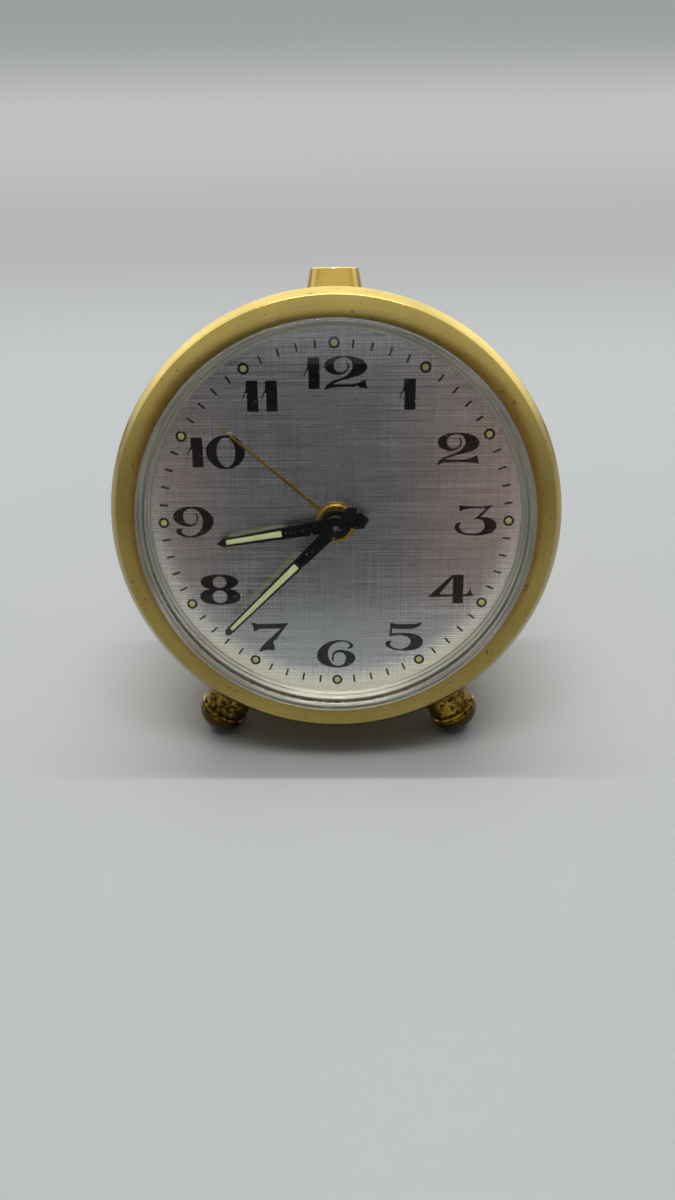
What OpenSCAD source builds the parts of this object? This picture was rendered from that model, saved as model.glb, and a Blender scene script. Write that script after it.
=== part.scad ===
// Mechanical table alarm clock: a turned brass drum on two splayed feet, with a wind-up
// movement. Every piece is drawn about the dial centre: Z points out of the dial face,
// Y points to twelve, and the face of the dial is Z = 0. stand() then leans the clock
// back and sets it on its feet.

/* [Case] */
// Outer radius of the bezel
bezel_r = 34.8; // [34.3:0.1:35.8]
// Radial width of the bevel round the bezel
bezel_bevel_w = 1.1; // [0.8:0.1:1.8]
// Width of the flat bezel face, from its bevel to its opening
bezel_face_w = 3; // [2.8:0.05:3.3]
// Height of the bevel round the bezel
bezel_bevel_h = 1.4; // [1.1:0.1:1.9]
// Rise of the flat bezel face from its bevel to its opening
bezel_face_rise = 0.6; // [0.4:0.1:0.8]
// Height of the bezel's side above the dial face
bezel_side_h = 2; // [1.8:0.1:2.5]
// Reach of the bezel's skirt behind the dial face
bezel_skirt_h = 2.2; // [1.5:0.1:2.5]
// Thickness of the bezel's skirt
bezel_skirt_t = 1.25; // [1.1:0.05:1.4]
// Wall of the drum
drum_wall = 0.7; // [0.5:0.05:0.8]
// Depth of the drum behind the dial face
case_depth = 32; // [31:0.5:36]
// Reach of the drum's front edge above the dial face
drum_lip = 0.8; // [0.5:0.1:1.2]
// Thickness of the in-turned front flange of the drum
flange_t = 0.8; // [0.6:0.1:1]
// Overlap of the dial's edge on the flange
flange_grip = 1; // [0.6:0.1:1.5]
// Thickness of the back cover
cover_t = 0.8; // [0.6:0.1:1]
// Recess of the back cover inside the drum's rear edge
cover_recess = 0.6; // [0.4:0.1:1]
// Radius of the five sound holes in the back cover
sound_hole_r = 1; // [0.7:0.1:1.2]

/* [Stance] */
// Lean of the dial back from upright, in degrees
lean = 14; // [12:0.5:16]
// Angle of each foot from straight down, in degrees
foot_angle = 29.5; // [27:0.5:34]
// Distance of the foot axes behind the dial face
foot_back = 7; // [6.8:0.1:8]
// Radius of a foot's neck
foot_neck_r = 3.95; // [3.5:0.05:4]
// Radius of the bead between neck and head
foot_bead_r = 4.3; // [4.2:0.05:4.5]
// Width of the bead between neck and head
foot_bead_w = 0.8; // [0.6:0.1:1]
// Radius of a foot's domed head
foot_head_r = 4.15; // [3.9:0.05:4.25]
// Height of a foot's domed head
foot_head_h = 3.4; // [3.1:0.1:4]
// Depth of the small flat that a foot stands on
foot_flat = 0.15; // [0.1:0.01:0.2]
// Radius of the threaded stud that holds a foot
foot_stud_r = 1.25; // [1:0.05:1.5]
// Width across the corners of a foot nut
foot_nut_w = 5.6; // [5:0.1:6.5]
// Thickness of a foot nut
foot_nut_t = 1.6; // [1.2:0.1:2]

/* [Glass] */
// Thickness of the clear crystal
crystal_t = 1.2; // [0.9:0.05:1.3]
// Thickness of the flange round the crystal
crystal_flange_t = 0.9; // [0.7:0.05:1]
// Width of the flange round the crystal
crystal_flange_w = 1.15; // [1:0.05:1.2]
// Height of the crystal's upright edge above its flange
crystal_edge_h = 1.15; // [1:0.05:1.5]
// Height of the crystal's dome above its upright edge
crystal_dome_h = 2.1; // [2:0.1:3]
// Radius of the rounded edge of the crystal
crystal_round_r = 0.9; // [0.6:0.05:1]

/* [Dial] */
// Thickness of the dial plate
dial_t = 0.5; // [0.4:0.05:0.6]
// Width of the reflector ring's stepped slope
reflector_w = 1.7; // [1.4:0.05:2]
// Height of the reflector ring
reflector_h = 2.35; // [2.1:0.05:2.5]
// Number of concentric steps on the reflector ring
reflector_steps = 4; // [3:1:5]
// Distance of the hour dots' centres inside the reflector ring
dot_inset = 1.9; // [1.6:0.1:2.4]
// Radius of an hour dot
dot_r = 0.5; // [0.4:0.05:0.6]
// Height of an hour dot above the dial face
dot_h = 0.12; // [0.1:0.01:0.2]
// Radius of the hole in the middle of the dial
dial_hole_r = 2.7; // [2.5:0.1:3]
// Radius of the two dial feet
dial_foot_r = 0.6; // [0.5:0.05:0.8]
// Distance of the dial feet from the centre
dial_foot_ring_r = 21; // [20:0.5:22]

/* [Hands] */
// Thickness of the hour and minute hands
hand_t = 0.25; // [0.2:0.01:0.3]
// Thickness of the alarm hand
alarm_hand_t = 0.22; // [0.18:0.01:0.3]
// Height of the minute hand above the dial face
minute_hand_z = 3.9; // [3.8:0.05:4]
// Height of the hour hand above the dial face
hour_hand_z = 1.9; // [1.7:0.05:2.1]
// Height of the alarm hand above the dial face
alarm_hand_z = 0.3; // [0.25:0.05:0.45]
// Gap from the minute hand's tip to the edge of the reflector ring
minute_tip_gap = 4.3; // [3.4:0.1:6]
// Length of the minute hand's tail
minute_tail = 4.8; // [4:0.1:6]
// Gap from the hour hand's tip to the edge of the reflector ring
hour_tip_gap = 10.2; // [9:0.1:12]
// Length of the hour hand's tail
hour_tail = 5.5; // [4.5:0.1:6.5]
// Gap from the alarm hand's tip to the edge of the reflector ring
alarm_tip_gap = 6; // [5:0.1:8]
// Width of the minute hand at its hub
minute_root_w = 2; // [1.8:0.05:2.2]
// Width of the minute hand near its tip
minute_tip_w = 1.15; // [0.9:0.05:1.3]
// Length of the minute hand's point
minute_point = 0.5; // [0.3:0.05:0.8]
// Width of the hour hand at its hub
hour_root_w = 2.3; // [2:0.05:2.5]
// Width of the hour hand near its tip
hour_tip_w = 1.35; // [1.2:0.05:1.6]
// Length of the hour hand's point
hour_point = 0.9; // [0.5:0.05:1.2]
// Width of the alarm hand at its hub
alarm_root_w = 0.64; // [0.5:0.02:0.9]
// Width of the alarm hand at its tip
alarm_tip_w = 0.32; // [0.2:0.02:0.5]
// Width of the spade on the tails of the hour and minute hands
spade_w = 2.1; // [1.6:0.05:2.4]
// Width of the tails where they meet the hubs
tail_neck_w = 1; // [0.8:0.05:1.4]
// Blunt width of the points of the hour and minute hands
point_w = 0.24; // [0.1:0.02:0.4]
// Distance of the luminous slots from the centre
slot_start = 8.5; // [8:0.1:9.5]
// Width of the luminous slots at their inner ends
slot_w = 1.05; // [0.8:0.05:1.2]
// Length of solid blade between the minute hand's slot and its tip
minute_slot_gap = 1.2; // [0.8:0.1:2]
// Length of solid blade between the hour hand's slot and its tip
hour_slot_gap = 1.4; // [1:0.1:2]
// Radius of the minute hand's hub
minute_hub_r = 1.8; // [1.6:0.05:2]
// Radius of the hour hand's hub
hour_hub_r = 2.4; // [2.2:0.05:2.6]
// Radius of the alarm hand's hub
alarm_hub_r = 3.45; // [3.2:0.05:3.6]
// Radius of the pin that carries the minute hand
hand_pin_r = 0.38; // [0.35:0.01:0.45]
// Direction of the minute hand, in degrees clockwise from twelve
minute_dir = 225.5; // [0:0.5:360]
// Direction of the hour hand, in degrees clockwise from twelve
hour_dir = 261; // [0:0.5:360]
// Direction of the alarm hand, in degrees clockwise from twelve
alarm_dir = 310.5; // [0:0.5:360]

/* [Alarm stop button] */
// Distance of the button's axis behind the dial face
button_back = 11; // [10.5:0.1:12]
// Radius of the button's flat top
button_top_r = 3.8; // [3.5:0.1:4]
// Radius of the button's lower edge
button_base_r = 4.5; // [4.2:0.1:4.7]
// Height of the button
button_h = 3.6; // [3:0.1:4.2]
// Gap between the pressed button and the drum
button_gap = 0.4; // [0.3:0.05:0.6]
// Radius of the button's stem
button_stem_r = 1.3; // [1.1:0.05:1.5]
// Travel of the button
button_travel = 2.5; // [2:0.1:2.6]
// Distance of the yoke's foot inside the drum
yoke_inset = 5.4; // [5:0.1:5.8]
// Width of the yoke
yoke_w = 5.4; // [5:0.1:6]
// Thickness of the yoke
yoke_t = 0.9; // [0.7:0.05:1.1]

/* [Frame] */
// Radius of the movement plates
plate_r = 26; // [25.5:0.1:26.5]
// Thickness of the movement plates
plate_t = 1.4; // [1.2:0.05:1.5]
// Gap between the movement plates
plate_gap = 13; // [13:0.1:13.6]
// Gap between the dial and the front plate
motion_gap = 5; // [5:0.05:5.3]
// Distance of the pillars from the centre
pillar_ring_r = 23.5; // [23.2:0.1:23.8]
// Radius of a pillar
pillar_r = 1.5; // [1.2:0.05:1.6]
// Radius of a pillar's tenon
pillar_tenon_r = 0.9; // [0.7:0.05:1]
// Radius of a cover post
post_r = 1.6; // [1.4:0.05:1.7]
// Radius of a cover screw's thread
cover_screw_r = 0.7; // [0.6:0.05:0.8]
// Radius of a cover screw's head
cover_screw_head_r = 1.4; // [1.2:0.05:1.6]
// Height of a cover screw's head
cover_screw_head_h = 0.7; // [0.6:0.05:0.9]

/* [Going train] */
// Teeth on the barrels
barrel_teeth = 72; // [70:1:74]
// Leaves on the centre pinion
centre_leaves = 10; // [10:1:11]
// Teeth on the centre wheel
centre_teeth = 60; // [58:1:61]
// Leaves on the third pinion
third_leaves = 8; // [8:1:9]
// Teeth on the third wheel
third_teeth = 56; // [54:1:57]
// Leaves on the fourth pinion
fourth_leaves = 7; // [7:1:8]
// Teeth on the fourth wheel
fourth_teeth = 48; // [46:1:50]
// Leaves on the escape pinion
escape_leaves = 6; // [6:1:7]
// Teeth on the escape wheel
escape_teeth = 15; // [13:1:16]
// Module of the barrel teeth
barrel_module = 0.3; // [0.295:0.001:0.303]
// Module of the centre wheel
centre_module = 0.28; // [0.275:0.001:0.283]
// Module of the third wheel
third_module = 0.24; // [0.235:0.001:0.243]
// Module of the fourth wheel
fourth_module = 0.25; // [0.245:0.001:0.255]
// Radius of the escape wheel
escape_r = 4.2; // [4:0.05:4.3]
// Thickness of the train wheels
wheel_t = 0.8; // [0.6:0.05:0.9]
// Radius of the balance wheel
balance_r = 6.8; // [6.4:0.05:7]
// Distance of the balance staff from the centre
balance_ring_r = 18.4; // [18.2:0.05:18.6]
// Radius of the impulse pin's circle
impulse_r = 1.6; // [1.5:0.05:1.8]
// Turns of the hairspring
hairspring_turns = 6; // [4:1:7]
// Turns of a mainspring
mainspring_turns = 8; // [6:1:9]

/* [Barrels and winding] */
// Radius of a barrel's drum
barrel_r = 10.2; // [10:0.05:10.2]
// Length of a barrel behind its toothed disc
barrel_len = 7.2; // [7:0.05:7.3]
// Thickness of a barrel's toothed disc
barrel_disc_t = 1.2; // [1:0.05:1.3]
// Thickness of a barrel's side wall and cover
barrel_wall = 0.7; // [0.6:0.05:0.8]
// Direction of the going barrel from the centre, in degrees
barrel_dir = -20; // [-22:0.5:-19]
// Distance of the alarm barrel from the centre
alarm_barrel_ring_r = 13.3; // [13.2:0.05:13.5]
// Radius of the barrel arbors
barrel_arbor_r = 1.5; // [1.3:0.05:1.6]
// Radius of the ratchet wheels
ratchet_r = 4.6; // [4.5:0.05:4.65]
// Depth of the ratchet teeth
ratchet_depth = 0.7; // [0.6:0.05:0.75]
// Teeth on a ratchet wheel
ratchet_teeth = 24; // [24:12:24]
// Thickness of the ratchet wheels
ratchet_t = 1; // [0.8:0.05:1.1]
// Width of the square that carries a ratchet wheel
ratchet_square = 2; // [1.8:0.05:2]
// Radius of a key's round wings
key_wing_r = 3.4; // [3:0.1:3.8]
// Distance of the wings' centres from the key's axis
key_wing_offset = 4.6; // [4.2:0.1:5]
// Thickness of a key's wings
key_wing_t = 1.5; // [1.2:0.1:2]
// Radius of a key's hub
key_hub_r = 2.1; // [2:0.05:2.4]
// Length of a key's hub
key_hub_len = 5; // [4.5:0.1:6]

/* [Motion work and setting] */
// Module of the motion work
motion_module = 0.28; // [0.275:0.001:0.285]
// Teeth on the cannon pinion
cannon_teeth = 12; // [12:1:13]
// Teeth on the minute wheel
minute_teeth = 36; // [34:1:37]
// Leaves on the minute pinion
minute_leaves = 10; // [10:1:11]
// Teeth on the hour wheel
hour_teeth = 40; // [38:1:41]
// Teeth on the alarm wheel
alarm_wheel_teeth = 60; // [60:1:62]
// Teeth on the alarm setting pinion
setting_teeth = 18; // [18:1:19]
// Module of the alarm wheel
alarm_module = 0.25; // [0.25:0.001:0.253]
// Direction of the minute wheel from the centre, in degrees
minute_wheel_dir = 35; // [32:1:50]
// Radius of the knobs on the back
knob_r = 3.4; // [3:0.1:3.6]
// Height of the knobs on the back
knob_h = 4.4; // [4:0.1:5]
// Number of flutes round a knob
knob_flutes = 24; // [20:1:28]

/* [Alarm work] */
// Leaves on the alarm pinion
alarm_leaves = 8; // [8:1:8]
// Teeth on the alarm escape wheel
alarm_escape_teeth = 18; // [16:1:20]
// Radius of the alarm escape wheel
alarm_escape_r = 4.5; // [4.3:0.05:4.6]
// Distance from the alarm escape arbor to the hammer arbor
anchor_gap = 5.8; // [5.7:0.05:5.9]
// Length of the hammer's arm
hammer_len = 9; // [8.5:0.1:9.4]
// Radius of the hammer's head
hammer_head_r = 2; // [1.8:0.05:2.1]
// Length of the hammer's head
hammer_head_len = 2.6; // [2:0.1:2.8]
// Swing of the hammer each way, in degrees
hammer_swing = 6; // [5:0.5:6]
// Radius of the sounding stud on the back cover
gong_r = 1.2; // [1:0.05:1.3]

/* [Fits] */
// Gap all round a turning shaft or a sliding stem
running_gap = 0.03; // [0.02:0.005:0.05]
// Gap between pieces that are assembled and stay put
fit_gap = 0.05; // [0.03:0.01:0.08]
// Gap between pieces that pass each other
pass_gap = 0.3; // [0.25:0.01:0.35]
// Gap by which escapement pins stop short of their wheels
pin_gap = 0.1; // [0.08:0.01:0.15]

/* [Hidden] */
$fn = 64;

// Colours of the real materials
brass = [0.72, 0.6, 0.28];
aged_brass = [0.5, 0.4, 0.18];
steel = [0.6, 0.61, 0.63];
blued_steel = [0.16, 0.19, 0.32];
silvered = [0.8, 0.8, 0.82];
hand_black = [0.05, 0.05, 0.05];
lume = [0.78, 0.82, 0.55];

// Radii of the case, from the bezel inwards
drum_r = bezel_r - bezel_skirt_t - fit_gap;
drum_in_r = drum_r - drum_wall;
bevel_r = bezel_r - bezel_bevel_w;
bezel_opening_r = bevel_r - bezel_face_w;
rebate_r = bezel_opening_r + crystal_flange_w + 2 * fit_gap;
dial_r = bezel_opening_r - 6 * fit_gap;
crystal_body_r = bezel_opening_r - 2 * fit_gap;
sight_r = crystal_body_r - reflector_w;
dot_ring_r = sight_r - dot_inset;
cover_r = drum_in_r - fit_gap;
yoke_y = drum_in_r - yoke_inset;

// Lengths of the hands and ends of their luminous slots, from the centre
minute_len = sight_r - minute_tip_gap;
hour_len = sight_r - hour_tip_gap;
alarm_len = sight_r - alarm_tip_gap;
minute_slot_end = minute_len - minute_slot_gap;
hour_slot_end = hour_len - hour_slot_gap;
// Widths of the slots, the outer ends as shares of the inner ends, and depth of the paint
minute_slot_taper = 0.58;
hour_slot_w = slot_w * 0.95;
hour_slot_taper = 0.79;
lume_t = hand_t * 0.8;

// Heights of the case and glass above the dial face
bevel_z = bezel_side_h + bezel_bevel_h;
face_z = bevel_z + bezel_face_rise;
lip_z = reflector_h + crystal_flange_t + fit_gap;
crystal_edge_z = reflector_h + crystal_flange_t + crystal_edge_h;
crystal_top_z = crystal_edge_z + crystal_dome_h;

// Levels behind the dial face, counted down
flange_z = -dial_t - flange_t;
front_z = -dial_t - motion_gap;
front_back_z = front_z - plate_t;
rear_front_z = front_back_z - plate_gap;
rear_z = rear_front_z - plate_t;
cover_back_z = -case_depth + cover_recess;
cover_front_z = cover_back_z + cover_t;

// Distances of parts of the movement behind the front plate
barrel_drop = 1.1;
fourth_wheel_drop = 1.7;
escape_wheel_drop = 4.6;
third_wheel_drop = 7.7;
// Distances of parts of the movement in front of the rear plate
balance_wheel_rise = 3.3;
centre_wheel_rise = 2.5;
alarm_escape_rise = 2.4;
hairspring_rise = 1.5;
// Distances of parts of the movement behind the rear plate
ratchet_drop = 0.6;
stop_drop = 2.7;

// Levels between the plates
barrel_front_z = front_back_z - barrel_drop;
barrel_disc_back_z = barrel_front_z - barrel_disc_t;
barrel_back_z = barrel_disc_back_z - barrel_len;
fourth_wheel_z = front_back_z - fourth_wheel_drop;
escape_wheel_z = front_back_z - escape_wheel_drop;
third_wheel_z = front_back_z - third_wheel_drop;
balance_wheel_z = rear_front_z + balance_wheel_rise;
centre_wheel_z = rear_front_z + centre_wheel_rise;
alarm_escape_z = rear_front_z + alarm_escape_rise;
hairspring_z = rear_front_z + hairspring_rise;

// Levels behind the rear plate
ratchet_z = rear_z - ratchet_drop;
stop_z = rear_z - stop_drop;
regulator_z = rear_z - pass_gap;

function polar(r, a) = [r * cos(a), r * sin(a)];
function heading(p, q) = atan2(q[1] - p[1], q[0] - p[0]);
function pitch_r(n, m) = n * m / 2;
function mesh_gap(a, b, m) = (a + b) * m / 2;
// Turn of a pinion whose leaf gap faces a wheel with a tooth at angle 0 of its own frame
function mesh_turn(a, wheel_n, pinion_n, wheel_turn = 0) =
  a + 180 + 180 / pinion_n - (wheel_turn - a) * wheel_n / pinion_n;

// Arbor positions, seen from the front
barrel_pos = polar(mesh_gap(barrel_teeth, centre_leaves, barrel_module), barrel_dir);
third_dir = 90;
third_pos = polar(mesh_gap(centre_teeth, third_leaves, centre_module), third_dir);
fourth_dir = 30;
fourth_pos = third_pos + polar(mesh_gap(third_teeth, fourth_leaves, third_module), fourth_dir);
escape_dir = 125;
escape_pos = fourth_pos + polar(mesh_gap(fourth_teeth, escape_leaves, fourth_module), escape_dir);
balance_dir = 134;
balance_pos = polar(balance_ring_r, balance_dir);
lever_dir = heading(escape_pos, balance_pos);
lever_clearance = 1;
lever_gap = escape_r + lever_clearance;
lever_pos = escape_pos + polar(lever_gap, lever_dir);
fork_len = norm(balance_pos - lever_pos) - impulse_r;
alarm_barrel_pos = polar(alarm_barrel_ring_r, 180 - barrel_dir);
alarm_escape_dir = -60;
alarm_escape_pos = alarm_barrel_pos
  + polar(mesh_gap(barrel_teeth, alarm_leaves, barrel_module), alarm_escape_dir);
anchor_dir = -75;
hammer_pos = alarm_escape_pos + polar(anchor_gap, anchor_dir);
minute_gap = mesh_gap(cannon_teeth, minute_teeth, motion_module);
minute_pos = polar(minute_gap, minute_wheel_dir);
hour_module = 2 * minute_gap / (hour_teeth + minute_leaves);
setting_dir = -90;
setting_pos = polar(mesh_gap(alarm_wheel_teeth, setting_teeth, alarm_module), setting_dir);
pillar_dirs = [40, 165, -50, -115];
dial_foot_dirs = [100, -75];

// Depth of the cover screws in their posts
screw_depth = 2;

// Arbor sizes
minute_arbor_r = 0.6;
cannon_pipe_r = 1.1;
hour_pipe_r = 1.75;
alarm_pipe_r = 2.35;
hour_seat_r = hour_pipe_r - 0.25;
alarm_seat_r = alarm_pipe_r - 0.1;
arbor_r = 0.5;
fine_arbor_r = 0.38;
stout_arbor_r = 0.6;
setting_arbor_r = 0.7;
pivot_r = 0.35;
front_pivot_r = barrel_arbor_r - 0.4;
tenon_depth = 1.2;
key_thread_r = 1.1;
barrel_hub_r = 2.6;
regulator_post_r = 0.8;

// Length of a pinion's leaves beyond each face of the wheel that drives it
leaf_over = 0.5;
// Distance by which cutting shapes run past the surfaces they cut
over = 1;
// Depth by which joined shapes run into each other
bite = 0.1;

// Tooth outlines in modules: width at the pitch circle, height above it, depth below it
wheel_tooth = [1.45, 1.1, 1];
pinion_leaf = [1, 0.6, 1.4];
// Shoulder of a tooth as shares of its height and width, and the share of width at its tip
shoulder_h = 0.55;
shoulder_w = 0.72;
tip_w = 0.22;

// Stop work and hammer
stop_dir = 150;
stop_pivot = polar(pillar_ring_r, stop_dir);
stop_pad_r = 0.9;
stop_pad = [0, yoke_y - stop_pad_r - running_gap];
stop_elbow = [-18.5, -9];
hammer_arm_dir = -10;
hammer_tail_dir = 130;
hammer_tail_len = 6;
hammer_tail_w = 1;
hammer_tail_end = hammer_pos + polar(hammer_tail_len, hammer_tail_dir);
stop_tip_r = 0.8;
stop_tip_gap = hammer_tail_len * sin(hammer_swing) + hammer_tail_w / 2 + stop_tip_r + pass_gap;
stop_tip = hammer_tail_end + polar(stop_tip_gap, hammer_tail_dir - 90);
gong_turn = hammer_swing + 2 * asin((hammer_head_r + gong_r + pass_gap) / (2 * hammer_len));
gong_pos = hammer_pos + polar(hammer_len, hammer_arm_dir - gong_turn);
regulator_arm = 9;
regulator_dir = -10;
regulator_swing = 20;

// Feet: the heads and the drum's rear edge reach the table together
axis_h = drum_r * cos(lean) + case_depth * sin(lean);
foot_down = cos(foot_angle) * cos(lean);
foot_support = sqrt(pow(foot_head_h * foot_down, 2)
  + pow(foot_head_r, 2) * (1 - foot_down * foot_down)) - foot_flat;
foot_reach = (axis_h - foot_support - foot_back * sin(lean)) / foot_down;

// Front and rear ends of the leaning clock, which centre it on the origin
crystal_top_r = crystal_body_r - crystal_round_r;
crystal_round = [for (a = [0:22.5:90])
  [crystal_top_r + crystal_round_r * cos(a), crystal_edge_z + crystal_round_r * sin(a)]];
knob_gap = 0.7;
knob_cap = 1.2;
knob_front_z = cover_back_z - knob_gap;
key_gap = 0.8;
key_front_z = cover_back_z - key_gap;
key_wing_rise = 0.55;
key_wing_z = key_hub_len + key_wing_r * key_wing_rise;
key_end_z = key_front_z - key_wing_z - key_wing_r;
front_y = -max(concat([bevel_r * sin(lean) + bevel_z * cos(lean)],
  [for (p = crystal_round) p[0] * sin(lean) + p[1] * cos(lean)]));
rear_y = max(drum_r * sin(lean) + case_depth * cos(lean),
  (barrel_pos[1] + key_wing_t / 2) * sin(lean) - key_end_z * cos(lean));
middle_y = (front_y + rear_y) / 2;

module stand() {
  translate([0, -middle_y, axis_h]) rotate([90 - lean, 0, 0]) children();
}

// Straight bar between two points, with round eyes a little wider than the bar
module bar(p, q, w, t) {
  eye_r = w / 2 + fit_gap;
  translate([p[0], p[1], 0]) rotate(heading(p, q)) translate([0, -w / 2, 0])
    cube([norm(q - p), w, t]);
  for (end = [p, q]) translate([end[0], end[1], 0]) cylinder(r = eye_r, h = t);
}

// Half of one tooth as [height above the pitch circle, share of the half width]
function tooth_side(m, shape) =
  [[-shape[2] * m, 1], [0, 1], [shoulder_h * shape[1] * m, shoulder_w], [shape[1] * m, tip_w]];
function tooth_points(n, m, shape) =
  let (rp = pitch_r(n, m), half = shape[0] * m / (2 * rp) * 180 / PI, side = tooth_side(m, shape))
  [for (i = [0:n - 1]) each concat(
    [for (k = [0:3]) polar(rp + side[k][0], 360 * i / n - side[k][1] * half)],
    [for (k = [3:-1:0]) polar(rp + side[k][0], 360 * i / n + side[k][1] * half)])];

module wheel_teeth(n, m, t) {
  linear_extrude(t) polygon(tooth_points(n, m, wheel_tooth));
}

module pinion_teeth(n, m, t) {
  linear_extrude(t) polygon(tooth_points(n, m, pinion_leaf));
}

// Window between two spokes, as a sector of a ring
module window(r1, r2, half, t) {
  linear_extrude(t) polygon(concat(
    [for (i = [-3:3]) polar(r2, half * i / 3)],
    [for (i = [3:-1:-3]) polar(r1, half * i / 3)]));
}

// Crossed-out train wheel on a bored hub
module train_wheel(n, m, bore) {
  spokes = 4;
  spoke_turn = 24;
  rim_w = 1.6 * m;
  hub_w = 1;
  rim_r = pitch_r(n, m) - wheel_tooth[2] * m - rim_w;
  difference() {
    wheel_teeth(n, m, wheel_t);
    hole([0, 0], bore, 0, wheel_t);
    for (i = [0:spokes - 1])
      rotate(360 * (i + 0.5) / spokes) translate([0, 0, -over])
        window(bore + hub_w, rim_r, (360 / spokes - spoke_turn) / 2, wheel_t + 2 * over);
  }
}

// Arbor between the plates with a pivot in each
module train_arbor(r) {
  translate([0, 0, rear_front_z + fit_gap * 2]) cylinder(r = r, h = plate_gap - fit_gap * 4);
  translate([0, 0, rear_front_z - tenon_depth])
    cylinder(r = pivot_r, h = plate_gap + 2 * tenon_depth);
}

module at(p, z = 0) {
  translate([p[0], p[1], z]) children();
}

// Round cutter through everything between two levels
module hole(p, r, z1, z2) {
  at(p, z1 - over) cylinder(r = r, h = z2 - z1 + 2 * over);
}

// Flat spiral strip from radius r1 to r2
module spiral(r1, r2, turns, t, h) {
  step = 15;
  n = 360 / step * turns;
  linear_extrude(h) polygon(concat(
    [for (i = [0:n]) polar(r1 + (r2 - r1) * i / n, step * i)],
    [for (i = [n:-1:0]) polar(r1 + (r2 - r1) * i / n + t, step * i)]));
}

// Drum: drawn tube with an in-turned flange that carries the dial
module case_drum() {
  color(brass) difference() {
    rotate_extrude($fn = 128) polygon([
      [drum_r, -case_depth], [drum_r, drum_lip], [drum_in_r, drum_lip],
      [drum_in_r, -dial_t], [dial_r - flange_grip, -dial_t],
      [dial_r - flange_grip, flange_z], [drum_in_r, flange_z], [drum_in_r, -case_depth]]);
    for (side = [-1, 1])
      foot_axis(side) cylinder(r = foot_stud_r + running_gap, h = bezel_r);
    translate([0, 0, -button_back]) rotate([-90, 0, 0])
      cylinder(r = button_stem_r + running_gap, h = bezel_r);
  }
}

// Turned ring that grips the crystal and slips over the drum
module bezel() {
  color(brass) rotate_extrude($fn = 128) polygon([
    [drum_r + fit_gap, -bezel_skirt_h], [bezel_r, -bezel_skirt_h], [bezel_r, bezel_side_h],
    [bevel_r, bevel_z], [bezel_opening_r, face_z], [bezel_opening_r, lip_z],
    [rebate_r, lip_z], [rebate_r, drum_lip + fit_gap], [drum_r + fit_gap, drum_lip + fit_gap]]);
}

// Clear moulded glass: a flange, an upright rounded edge and a shallow dome
module crystal() {
  flange_r = bezel_opening_r + crystal_flange_w;
  n = 8;
  edge_gain = 0.4;
  round_top_z = crystal_edge_z + crystal_round_r;
  dome_h = crystal_top_z - round_top_z;
  inner_r = crystal_body_r - crystal_t;
  outer = [for (i = [n - 1:-1:0])
    [crystal_top_r * i / n, round_top_z + dome_h * (1 - pow(i / n, 2))]];
  inner = [for (i = [0:n]) [inner_r * i / n,
    crystal_top_z - crystal_t - (dome_h + edge_gain) * pow(i / n, 2)]];
  color([0.9, 0.95, 0.95, 0.3]) rotate_extrude($fn = 128) polygon(concat(
    [[inner_r, reflector_h], [flange_r, reflector_h],
     [flange_r, reflector_h + crystal_flange_t],
     [crystal_body_r, reflector_h + crystal_flange_t]],
    crystal_round, outer, inner));
}

// Silvered ring with concentric steps between the dial and the crystal
module reflector_ring() {
  outer_r = bezel_opening_r + crystal_flange_w;
  step_w = (crystal_body_r - sight_r) / reflector_steps;
  step_h = reflector_h / reflector_steps;
  riser_w = step_w * 0.35;
  tread_fall = 0.12;
  root_lift = 0.05;
  color(silvered) rotate_extrude($fn = 128) polygon(concat(
    [[outer_r, 0], [outer_r, reflector_h], [crystal_body_r, reflector_h]],
    [for (i = [reflector_steps:-1:1]) each [
      [sight_r + step_w * (i - 1) + riser_w, step_h * i - tread_fall],
      [sight_r + step_w * (i - 1), step_h * (i - 1) + root_lift]]],
    [[sight_r, 0]]));
}

// Brushed dial plate with two feet that enter the front plate
module dial() {
  foot_depth = plate_t * 0.8;
  color(silvered) difference() {
    union() {
      translate([0, 0, -dial_t]) cylinder(r = dial_r, h = dial_t, $fn = 128);
      for (a = dial_foot_dirs)
        at(polar(dial_foot_ring_r, a), front_z - foot_depth)
          cylinder(r = dial_foot_r, h = motion_gap + foot_depth + dial_t / 2);
    }
    hole([0, 0], dial_hole_r, -dial_t, 0);
  }
}

module hour_dots() {
  color(lume) for (i = [0:11])
    at(polar(dot_ring_r, 30 * i)) cylinder(r = dot_r, h = dot_h, $fn = 24);
}

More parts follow.
